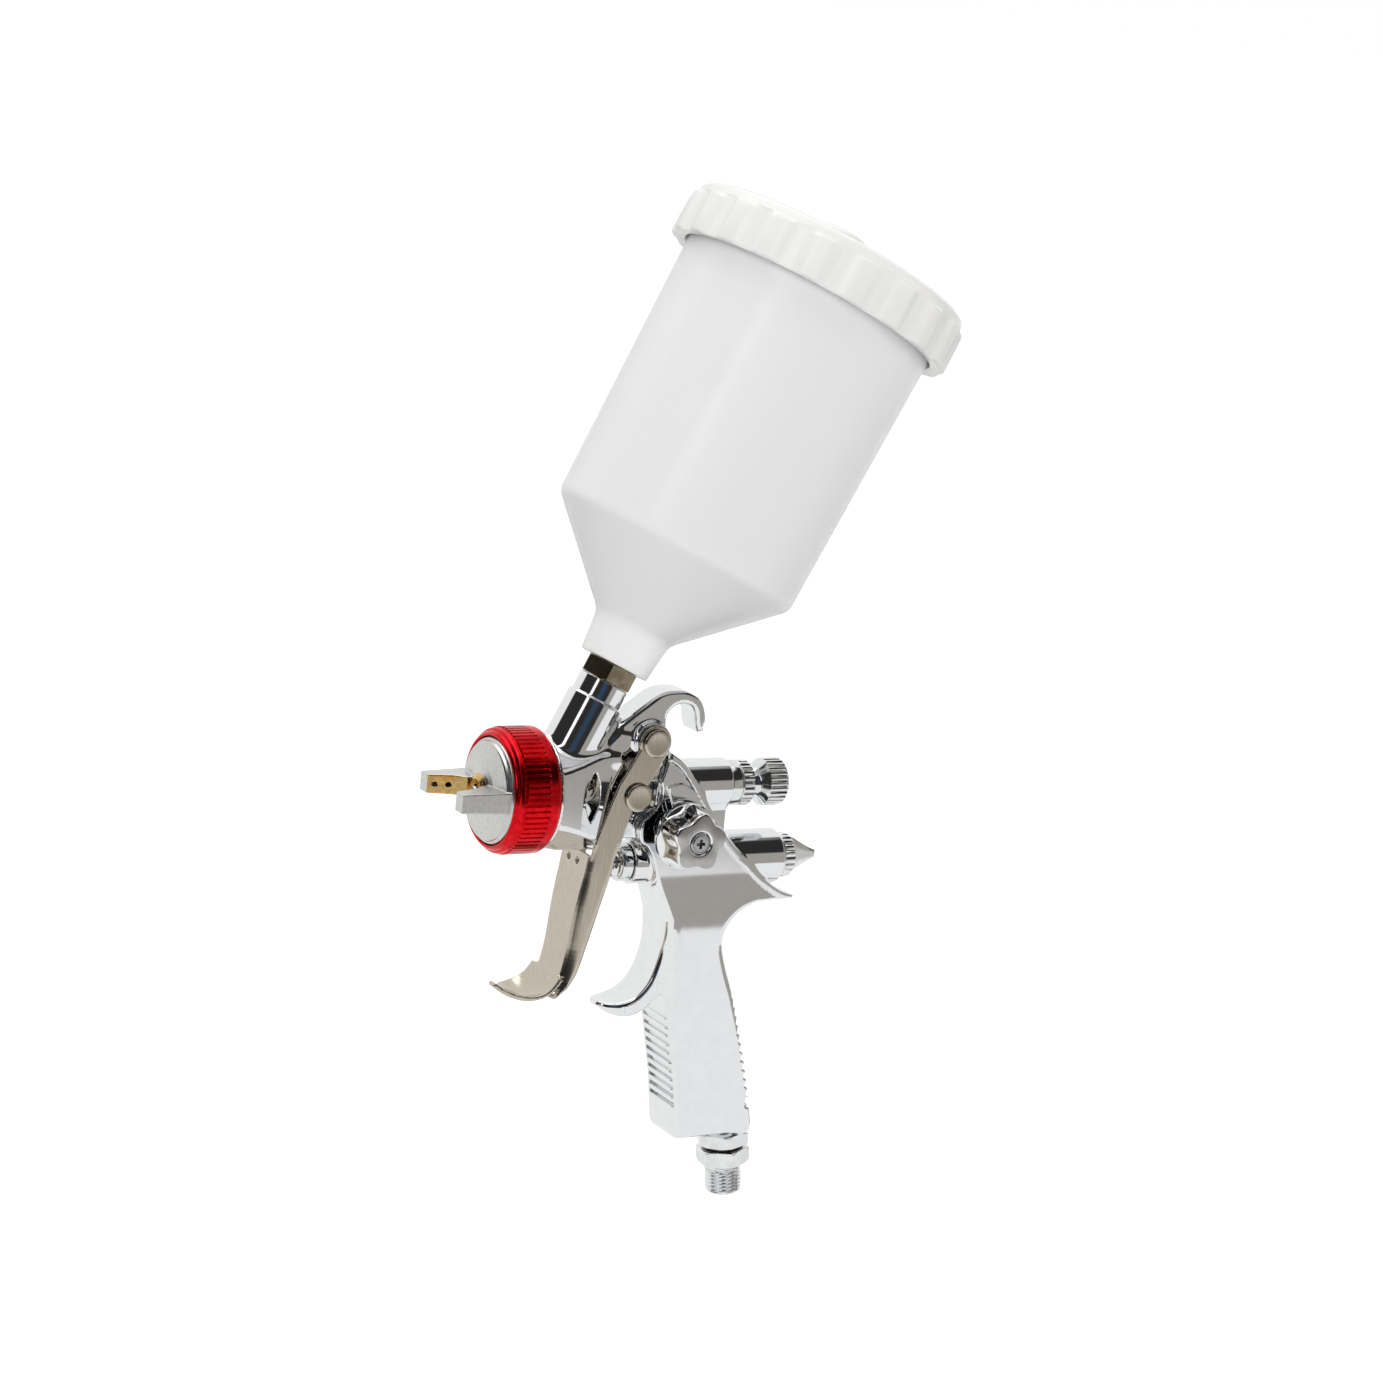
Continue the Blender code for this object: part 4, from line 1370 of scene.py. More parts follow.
@dataclass
class CupAssembly:
    """Hex adapter, translucent cup, scalloped lid and vent cap."""

    radius: float = 46.2
    wall: float = 1.7
    lid_radius: float = 52.6
    lid_top: float = 209.8
    lid_ribs: int = 20
    hex_radius: float = 10.1

    def turn(self, profile: Profile, sides: int = 144, closed: bool = False,
             shape: Shape | None = None) -> Surface:
        """Turn a profile round the cup's axis.

        Args:
            profile: its corners.
            sides: how many sides.
            closed: whether the profile closes on itself.
            shape: ribs, if it has them.

        Returns:
            The turned surface.
        """
        return Turning(CUP_FOOT, CUP_UP, profile, sides, closed, shape).build()

    def build_adapter(self, shop: Workshop) -> None:
        """Make the hex adapter.

        Args:
            shop: where the piece is finished.
        """
        nut = hexagon(CUP_FOOT, CUP_UP, 41.7, 47.7, self.hex_radius, 0.5)
        stub = self.turn([(47.2, 4.6), (47.2, 6.3), (58.0, 6.3, 0.5), (58.0, 4.6)], 64, True)
        spigot = self.turn([(33.0, 3.3), (33.0, 4.65, 0.4), (42.2, 4.65), (42.2, 3.3)], 64,
                           True)
        made = joined(nut, stub, spigot)
        shop.piece("hex_adapter", made, "cup", "dark_nickel", "cup_adapter",
                   20.0)

    def build_cup(self, shop: Workshop) -> None:
        """Make the cup.

        Args:
            shop: where the piece is finished.
        """
        inside = self.radius - self.wall
        corners = [(60.0, 6.6), (48.0, 6.6, 0.3), (48.0, 12.5, 0.6), (62.1, 14.0, 2.5),
                   (92.0, 44.3, 2.2), (186.0, self.radius, 0.3), (201.0, self.radius, 0.4),
                   (201.0, inside, 0.4), (93.5, 42.5, 2.0), (64.5, 12.4, 2.0)]
        made = self.turn(corners, 160, True)
        shop.piece("paint_cup", made, "cup", "cup", "cup", 40.0)

    def build_lid(self, shop: Workshop) -> None:
        """Make the lid and its vent cap.

        Args:
            shop: where the pieces are finished.
        """
        ribs, r = self.lid_ribs, self.lid_radius

        def scallop(along: Array, angle: Array) -> Array:
            """A wide rounded rib, then a narrower hollow."""
            wave = 0.5 + 0.5 * np.cos(ribs * angle)
            return 1.0 - np.clip((wave - 0.25) / 0.5, 0.0, 1.0) ** 0.8

        top = self.lid_top
        corners = [
            (top, 0.0), (top, 12.0), (208.9, 38.0, 3.0), (207.3, 48.6, 1.2), (206.2, 50.3, 0.8),
            (203.8, 50.9, 0.3, 0.0), (203.5, 51.0, 0.0, 0.0), (203.2, 51.3, 0.0, 0.4),
            (202.4, r - 0.3, 0.0, 1.35), (201.4, r - 0.1, 0.0, 1.45), (195.0, r, 0.0, 1.5),
            (189.2, r, 0.0, 1.5), (188.5, r - 0.2, 0.0, 1.3), (188.0, r - 0.8, 0.0, 0.8),
            (188.0, 50.2, 0.0, 0.0), (188.3, 47.4, 0.2), (189.5, 47.0, 0.4), (203.7, 47.0, 0.5),
            (203.7, 42.0), (206.8, 36.0, 1.0), (207.6, 0.0)]
        made = self.turn(corners, ribs * 14, shape=scallop)
        shop.piece("screw_lid", made, "lid", "lid", "cup_lid", 30.0)
        vent = [(206.0, 0.0), (206.0, 1.65), (210.1, 1.65), (210.1, 9.4, 0.4),
                (214.6, 8.9, 0.9), (215.4, 8.0, 0.5), (215.6, 6.6, 0.3), (215.1, 6.2, 0.3),
                (215.1, 0.0)]
        made = self.turn(vent, 96)
        shop.piece("vent_stub", made, "lid", "lid", "vent_cap")

    def build(self, shop: Workshop) -> None:
        """Make the cup's pieces.

        Args:
            shop: where the pieces are finished.
        """
        self.build_adapter(shop)
        self.build_cup(shop)
        self.build_lid(shop)
        shop.dress("white", "paint_strainer", "lid_seal")


# ---------------------------------------------------------------- trigger

@dataclass
class TriggerAssembly:
    """The folded trigger, its pivot pin and the cross pin that draws the needle."""

    step: float = 0.42
    half_width: float = 11.0
    plate: float = 1.3
    fold: float = 4.0
    vent_hole: float = 1.15
    pin_head: float = 5.0
    rail_lifts: tuple[float, float] = (-2.75, 3.28)
    scoop_drop: float = 2.6
    scoop_start: float = -33.0
    scoop_reach: float = 12.6
    run_steps: int = 5
    rear: tuple[Point2, ...] = (
        (4.2, 12.8), (-1.2, 3.0), (-6.4, -6.0), (-9.8, -17.0), (-11.9, -29.3),
        (-14.3, -39.6), (-18.4, -57.0), (-20.6, -64.5), (-24.0, -70.0))
    front: tuple[Point2, ...] = (
        (-27.6, -66.0), (-26.0, -58.0), (-25.1, -50.0), (-23.9, -39.1), (-22.3, -29.4),
        (-20.6, -19.0), (-16.6, -6.5), (-12.9, 3.6))
    web: tuple[Point2, ...] = (
        (-21.4, -24.0), (-22.3, -29.4), (-23.9, -39.1), (-25.1, -50.0), (-26.2, -59.0),
        (-28.2, -65.5), (-32.2, -69.8), (-37.6, -71.2), (-43.4, -69.6), (-48.4, -66.4))

    def field(self, x: Array, y: Array, z: Array) -> Array:
        """The trigger's folded plate.

        Args:
            x: X of each place.
            y: Y of each place.
            z: Z of each place.

        Returns:
            The signed distance.
        """
        sides = [*arc((PIVOT[0], PIVOT[2]), 6.1, 200, -10, 16), *curve(self.rear, 5),
                 (-28.5, -73.4), (-31.0, -72.0), *curve(self.front, 5)]
        flat = outline(sides, x, z)
        fold = self.fold - 1.6 * np.clip((z + 55.0) / 28.0, 0.0, 1.0)
        shell = slab(flat, y, self.half_width, fold)
        arms = slab(flat, y, self.half_width, 0.45)
        high = np.clip((z + 23.5) / 6.0, 0.0, 1.0)
        shell = shell + (arms - shell) * high
        run = curve(self.web, self.run_steps)
        behind = [*run[:6 * self.run_steps + 1], (-20.0, -90.0), (60.0, -90.0), (60.0, 60.0),
                  (-60.0, 60.0), (-60.0, -20.5), (-21.0, -21.0)]
        hollow = slab(outline(behind, x, z) + self.plate, y, self.half_width - self.plate,
                      fold - self.plate)
        hollow = np.minimum(hollow, slab(
            outline([(-60.0, 60.0), (60.0, 60.0), (60.0, -21.7), (-60.0, -21.7)], x, z), y,
            self.half_width - self.plate, 0.2))
        made = carve(shell, hollow, 0.4)
        spread = np.clip((-27.0 - x) / 12.0, 0.0, 1.0)
        dish = self.scoop_drop * (1.0 - (y / self.half_width) ** 2) * spread
        lip = run_distance(run[5 * self.run_steps:], x, z + dish)
        reach = np.clip((self.scoop_start - x) / self.scoop_reach, 0.0, 1.0)
        width = self.half_width * np.sqrt(1.0 - 0.96 * reach ** 2)
        scoop = slab(lip - 0.8, y, width, 0.7)
        made = weld(made, scoop, 1.6)
        for spot, bore in ((PIVOT, 2.75), (DRIVE, 3.8)):
            made = np.maximum(made, -rod(x, y, z, spot, Y_AXIS, -20.0, 20.0, bore))
        for side in (-1.0, 1.0):
            spot = (-22.3, 3.1 * side + 0.8, -25.4)
            hole = rod(x, y, z, spot, (1.0, 0.0, 0.2), -4.0, 4.0, self.vent_hole)
            made = np.maximum(made, -hole)
        return made

    def build(self, shop: Workshop) -> None:
        """Make the trigger, its pins and their fasteners.

        Args:
            shop: where the pieces are finished.
        """
        made = Casting(self.field, (-51.5, -11.9, -80.0), (7.5, 11.9, 25.0), self.step).build()
        shop.piece("trigger_lever", made, "trigger", "nickel", "trigger")
        head = self.half_width + 0.3
        button = [(-head - 1.05, 0.0), (-head - 1.2, 3.6, 0.3), (-head - 1.2, 4.5, 0.35),
                  (-head - 0.8, self.pin_head, 0.2), (-head, self.pin_head, 0.1)]
        pin = [*button, (-head, 2.45), (head - 0.1, 2.45), (head - 0.1, 1.5), (4.0, 1.5),
               (4.0, 0.0)]
        self.turned(shop, "pivot_pin", PIVOT, pin, "gun", "trigger_pivot_pin", "nickel")
        screw = [(5.0, 0.0), (5.0, 1.2), (head + 0.2, 1.2), (head + 0.2, self.pin_head, 0.2),
                 (head + 1.6, self.pin_head, 0.3), (head + 2.0, 4.3, 0.3),
                 (head + 2.0, 2.2, 0.1), (head + 0.9, 2.0, 0.1), (head + 0.9, 0.0)]
        self.turned(shop, "pivot_screw", PIVOT, screw, "gun", "pivot_pin_screw", "nickel")
        cross = [*button, (-head, 3.5), (-3.2, 3.5, 0.3), (-3.2, 0.0)]
        tail = [(3.2, 0.0), (3.2, 3.5, 0.3), (12.0, 3.5, 0.2), (12.0, 2.3), (13.4, 2.3, 0.3),
                (13.4, 0.0)]
        left = Turning(DRIVE, Y_AXIS, cross, 72).build()
        right = Turning(DRIVE, Y_AXIS, tail, 48).build()
        rail = [(-3.4, 0.0), (-3.4, 0.35), (3.4, 0.35), (3.4, 0.0)]
        rails = [Turning((DRIVE[0], 0.0, DRIVE[2] + lift), Y_AXIS, rail, 12).build()
                 for lift in self.rail_lifts]
        made = joined(left, right, *rails)
        shop.piece("drive_pin", made, "trigger", "nickel", "needle_drive_pin")
        clip = [(12.3, 2.6), (12.3, 4.6, 0.15), (13.1, 4.6, 0.15), (13.1, 2.6)]
        self.turned(shop, "pin_clip", DRIVE, clip, "trigger", "drive_pin_clip", "steel", True)
        for side, low in (("left", -9.62), ("right", 9.42)):
            washer = [(low, 2.8), (low, 5.6), (low + 0.2, 5.6), (low + 0.2, 2.8)]
            self.turned(shop, f"washer_{side}", PIVOT, washer, "gun",
                        f"pivot_washer_{side}", "steel", True)

    @staticmethod
    def turned(shop: Workshop, name: str, foot: Point3, profile: Profile, body: str,
               node: str, finish: str, closed: bool = False) -> None:
        """Make one small piece turned round an axis along Y.

        Args:
            shop: where the piece is finished.
            name: the piece's name.
            foot: a point on its axis.
            profile: its corners.
            body: the body that it rides on.
            node: the node that it stands for.
            finish: its finish.
            closed: whether the profile closes on itself.
        """
        made = Turning(foot, Y_AXIS, profile, 72, closed).build()
        shop.piece(name, made, body, finish, node)


# ---------------------------------------------------------------- controls

@dataclass
class NeedleControl:
    """Needle, packing nut, spring, threaded bush, lock ring and paint knob."""

    spring: Spring = Spring("paint_spring", "needle_spring", ORIGIN, 4.6, 26.8, 4.7, 0.6, 0.84)
    knob_radius: float = 8.4
    knob_ribs: int = 26
    ring_ribs: int = 22

    def build(self, shop: Workshop) -> None:
        """Make the needle's pieces.

        Args:
            shop: where the pieces are finished.
        """
        rods = [(-62.9, 0.0), (-62.9, 0.25), (-58.0, 1.15, 0.5), (31.0, 1.15), (31.0, 2.2, 0.2),
                (32.6, 2.2, 0.2), (32.6, 0.0)]
        made = Turning(ORIGIN, X_AXIS, rods, 32).build()
        shop.piece("paint_needle", made, "needle", "steel", "needle")
        nut = hexagon(ORIGIN, X_AXIS, -26.1, -22.0, 4.5, 0.6)
        thread = [(-27.9, 1.45), (-27.9, 2.9, 0.2), (-25.6, 2.9), (-25.6, 1.45)]
        collar = [(-22.2, 1.45), (-22.2, 3.0, 0.2), (-21.7, 2.8, 0.2), (-21.7, 1.45)]
        made = joined(nut, *(Turning(ORIGIN, X_AXIS, profile, 48, True).build()
                             for profile in (thread, collar)))
        shop.piece("packing_nut", made, "gun", "nickel", "needle_packing_nut", 20.0)
        self.spring.build(shop)
        bush = [(27.8, 3.5), (27.8, 5.9), (34.5, 5.9), (34.5, 8.1, 0.3), (38.3, 8.1, 0.3),
                (38.3, 3.5)]
        made = Turning(ORIGIN, X_AXIS, bush, 96, True).build()
        shop.piece("upper_bush", made, "gun", "knobs", "needle_bush")
        lock = [(38.5, 3.5), (38.5, 7.3, 0.2), (38.9, 7.9, 0.2), (39.15, 8.0, 0.0, 0.0),
                (39.4, 8.0, 0.0, 0.6), (42.9, 8.0, 0.0, 0.6), (43.2, 8.0, 0.0, 0.0),
                (43.5, 7.8, 0.2), (44.0, 7.1, 0.2), (44.0, 3.5)]
        made = Turning(ORIGIN, X_AXIS, lock, self.ring_ribs * 12, True,
                       flutes(self.ring_ribs, 5)).build()
        shop.piece("lock_ring", made, "lock_ring", "knobs", "needle_lock_ring")
        r = self.knob_radius
        knob = [(57.4, 0.0), (57.4, 3.0, 0.2), (57.6, 3.4, 0.2), (57.6, 7.3, 0.3),
                (57.0, 8.0, 0.2), (56.7, r - 0.1, 0.0, 0.2), (56.3, r, 0.0, 0.75),
                (50.2, r, 0.0, 0.75), (49.9, r, 0.0, 0.3), (49.6, r, 0.0, 0.0),
                (48.8, 7.5, 0.5), (46.9, 5.2, 0.8), (44.9, 4.6, 0.5), (44.3, 4.6, 0.2),
                (44.3, 3.15, 0.1), (28.6, 3.15, 0.2), (28.6, 2.6, 0.1), (36.8, 2.6, 0.1),
                (36.8, 0.0)]
        made = Turning(ORIGIN, X_AXIS, knob, self.knob_ribs * 12,
                       shape=flutes(self.knob_ribs, 5)).build()
        shop.piece("paint_knob", made, "needle_knob", "knobs", "needle_knob")
        shop.dress("steel", "needle_collar")
        shop.dress("white", "needle_packing")


@dataclass
class AirValve:
    """The air valve in the lower barrel and the knob that sets its flow."""

    spring: Spring = Spring("air_spring", "air_valve_spring", LOWER_BARREL, 22.2, 47.0, 5.2,
                            0.65, 0.67)
    knob_radius: float = 7.9
    knob_ribs: int = 20
    blade_half: float = 1.7
    blade_span: tuple[float, float] = (63.4, 75.3)
    blade_steps: int = 14

    def blade(self) -> Surface:
        """The tapered blade that the fingers turn.

        Returns:
            The blade's closed surface.
        """
        base, tip = self.blade_span
        rows: list[Array] = []
        for k in range(self.blade_steps + 1):
            share = k / self.blade_steps
            x = base + (tip - base) * share
            height = min(6.4 * (1.0 - share) ** 1.15 + 1.35, 6.3)
            half = self.blade_half * (1.0 - 0.25 * share)
            ring = [(x, math.copysign(half * min(1.0, 1.05 - 0.35 * abs(s) ** 6), side),
                     LOWER_BARREL[2] + height * s)
                    for side, run in ((-1.0, np.linspace(-1, 1, 9)),
                                      (1.0, np.linspace(1, -1, 9))) for s in run]
            rows.append(np.array(ring))
        rows.append(rows[-1] * np.array((1.0, 0.6, 1.0)) + np.array((0.25, 0.0, 0.0)))
        return tube(np.array(rows))

    def build(self, shop: Workshop) -> None:
        """Make the air valve's pieces.

        Args:
            shop: where the pieces are finished.
        """
        foot = LOWER_BARREL
        nut = [(2.6, 2.0), (-4.9, 2.0, 0.2), (-5.6, 2.6, 0.3), (-5.6, 4.9, 0.2),
               (-5.1, 5.2, 0.1), (-5.1, 5.6, 0.1), (-5.6, 5.9, 0.2), (-5.4, 6.4, 0.2),
               (-4.9, 6.7, 0.2), (-1.5, 6.7, 0.2), (-1.5, 5.0), (2.6, 5.0)]
        made = Turning(foot, X_AXIS, nut, 96, True).build()
        shop.piece("stem_packing_nut", made, "gun", "knobs", "air_valve_nut")
        plug = [(48.0, 3.4), (48.0, 7.1), (58.45, 7.1), (58.45, 8.4, 0.2), (59.3, 8.3, 0.3),
                (59.3, 3.4)]
        made = Turning(foot, X_AXIS, plug, 96, True).build()
        shop.piece("barrel_plug", made, "gun", "knobs", "air_valve_plug")
        self.spring.build(shop)
        r = self.knob_radius
        knob = [(50.0, 0.0), (50.0, 2.9, 0.2), (53.0, 2.9), (53.0, 2.3), (55.0, 2.3),
                (55.0, 2.9), (59.6, 2.9), (59.6, r - 0.4, 0.1), (59.9, r, 0.0, 0.5),
                (63.0, r, 0.0, 0.55), (63.6, r - 0.3, 0.0, 0.3), (64.3, r - 1.4, 0.3, 0.0),
                (64.8, 5.2, 0.5), (65.2, 0.0)]
        base = Turning(foot, X_AXIS, knob, self.knob_ribs * 12,
                       shape=flutes(self.knob_ribs, 4)).build()
        made = joined(base, self.blade())
        shop.piece("air_flow_knob", made, "air_knob", "knobs", "air_knob")
        stem = [(-19.7, 0.0), (-19.7, 1.3, 0.3), (-19.2, 1.7, 0.2), (27.0, 1.7), (27.0, 0.0)]
        made = Turning(foot, X_AXIS, stem, 40).build()
        shop.piece("valve_stem", made, "air_valve", "steel", "air_valve_stem")
        shop.dress("white", "air_valve_packing")
        shop.dress("brass", "air_valve_seat", "air_valve_disc")
        shop.dress("rubber", "air_knob_o_ring")


@dataclass
class FanControl:
    """The five-lobed knob on the left side, its screw, bush and stem."""

    lobes: int = 5
    lobe_turn: float = 0.40
    lobe_share: float = 0.72
    flange: float = 11.8
    crown: float = 11.3
    face_start: float = -25.42
    screw_step: float = 0.14
    screw_reach: float = 4.8
    cross_floor: float = 23.6

    def lobe(self, along: Array, angle: Array) -> Array:
        """How deep the knob's side is cut in, most half-way between two lobes."""
        wave = 0.5 - 0.5 * np.cos(self.lobes * (angle + self.lobe_turn))
        return self.lobe_share * wave

    def build(self, shop: Workshop) -> None:
        """Make the fan control's pieces.

        Args:
            shop: where the pieces are finished.
        """
        c = self.crown
        corners = [
            (22.6, 1.7), (22.6, 4.0), (25.0, 4.0, 0.1), (25.3, 4.3, 0.1), (25.35, 4.6, 0.1),
            (25.5, 4.8, 0.1), (25.5, c - 1.7, 0.0, 2.75), (25.35, c - 1.25, 0.0, 2.85),
            (24.95, c - 0.85, 0.0, 2.95), (24.2, c - 0.6, 0.0, 3.0), (20.5, c - 0.25, 0.0, 2.8),
            (17.6, c, 0.0, 2.45), (16.8, c + 0.1, 0.0, 2.0), (16.2, c + 0.2, 0.0, 1.1),
            (15.9, c + 0.3, 0.0, 0.3), (15.5, self.flange, 0.2), (13.9, self.flange, 0.2),
            (13.9, 3.0), (17.8, 3.0), (17.8, 1.7)]
        made = Turning(FAN, LEFT, corners, 200, True, self.lobe).build()
        knob = shop.piece("fan_width_knob", made, "fan_knob", "chrome", "fan_knob",
                          38.0)
        knob.data.materials.append(shop.paints["satin_chrome"])
        front = [int(np.mean(made.points[face][:, 1]) < self.face_start)
                 for face in made.faces]
        knob.data.polygons.foreach_set("material_index", front)
        self.build_screw(shop)
        shop.dress("steel", "fan_valve_bush", "fan_valve_stem")
        shop.dress("rubber", "fan_stem_o_ring")

    def build_screw(self, shop: Workshop) -> None:
        """Make the cross-head screw in the knob's middle.

        Args:
            shop: where the piece is finished.
        """
        reach, floor = self.screw_reach, self.cross_floor

        def surface(x: Array, y: Array, z: Array) -> Array:
            """The screw's distance field."""
            out = -y
            dx, dz = x - FAN[0], z - FAN[2]
            away = np.sqrt(dx * dx + dz * dz)
            made = outline([(12.0, -2.0), (12.0, 1.2), (22.9, 1.2), (22.9, 3.8), (24.9, 3.8),
                            (25.35, 3.5), (25.6, 2.8), (25.72, -2.0)], out, away)
            rim = slab(np.abs(away - 3.0) - 0.12, out - 26.2, 1.0, 0.05)
            deep = np.clip(out - floor, 0.0, 3.0) * 0.22
            cross = np.minimum(
                np.maximum(np.abs(dx) - 0.30 - deep * 0.4, np.abs(dz) - 1.2 - deep),
                np.maximum(np.abs(dz) - 0.30 - deep * 0.4, np.abs(dx) - 1.2 - deep))
            cross = np.maximum(cross, floor - out)
            return carve(carve(made, cross, 0.15), rim, 0.1)

        made = Casting(
            surface, (FAN[0] - reach, -26.2, FAN[2] - reach),
            (FAN[0] + reach, -11.5, FAN[2] + reach), self.screw_step).build()
        shop.piece("knob_screw", made, "fan_knob", "steel", "fan_knob_screw")


@dataclass
class AirInlet:
    """The hex collar in the grip's foot and the threaded nipple that takes the hose."""

    hex_radius: float = 10.1
    nipple_hex: float = 9.8
    thread_radius: float = 6.58
    pitch: float = 1.337
    thread_depth: float = 0.78

    def thread(self) -> Surface:
        """The nipple's neck with a real screw thread and its bore.

        Returns:
            The neck's closed surface.
        """
        def ridge(along: Array, angle: Array) -> Array:
            """How far the thread's surface lies inside its crest."""
            local = np.mod(along / self.pitch - angle / (2 * math.pi), 1.0)
            tooth = np.clip((np.abs(local - 0.5) * 2.0 - 0.12) / 0.76, 0.0, 1.0)
            ease = np.clip((along - 0.2) / 0.9, 0.0, 1.0) * np.clip((9.6 - along) / 0.8, 0.0, 1.0)
            return self.thread_depth * (1.0 - (1.0 - tooth) * ease)

        spots = np.arange(0.35, 9.7, self.pitch / 10)
        corners = [(0.0, 3.4, 0.2), (0.0, self.thread_radius - 1.0, 0.2),
                   *[(float(s), self.thread_radius, 0.0, 1.0) for s in spots],
                   (10.0, 5.7, 0.2), (11.4, 5.7, 0.2), (11.4, 8.0, 0.3), (17.3, 8.0, 0.2),
                   (17.3, 3.4)]
        return Turning(INLET_END, INLET_UP, corners, 72, True, ridge).build()

    def build(self, shop: Workshop) -> None:
        """Make the inlet's pieces.

        Args:
            shop: where the pieces are finished.
        """
        nut = hexagon(INLET_END, INLET_UP, 11.5, 17.2, self.nipple_hex, 0.9, 0.4)
        made = joined(self.thread(), nut)
        shop.piece("hose_nipple", made, "gun", "knobs", "inlet_nipple", 24.0)
        collar = hexagon(INLET_END, INLET_UP, 18.9, 23.6, self.hex_radius, 0.9, 0.15)
        spigot = [(23.0, 3.6), (23.0, 5.7), (32.0, 5.7, 0.4), (32.0, 3.6)]
        made = joined(collar, Turning(INLET_END, INLET_UP, spigot, 64, True).build())
        shop.piece("foot_collar", made, "gun", "knobs", "inlet_collar", 24.0)
        seal = [(17.6, 3.6), (17.6, 7.6, 0.3), (18.6, 7.6, 0.3), (18.6, 3.6)]
        made = Turning(INLET_END, INLET_UP, seal, 72, True).build()
        shop.piece("inlet_washer", made, "gun", "rubber", "inlet_seal")


# ---------------------------------------------------------------- studio

@dataclass(frozen=True)
class Patch:
    """A soft-edged patch of the studio, between two bearings and two heights in degrees."""

    west: float
    east: float
    low: float
    high: float
    colour: Point3
    soft: float = 3.0


@dataclass(frozen=True)
class Lamp:
    """A square soft light: place, side in metres, power in watts, whether the metal shows it."""

    name: str
    spot: Point3
    side: float
    power: float
    mirrored: bool


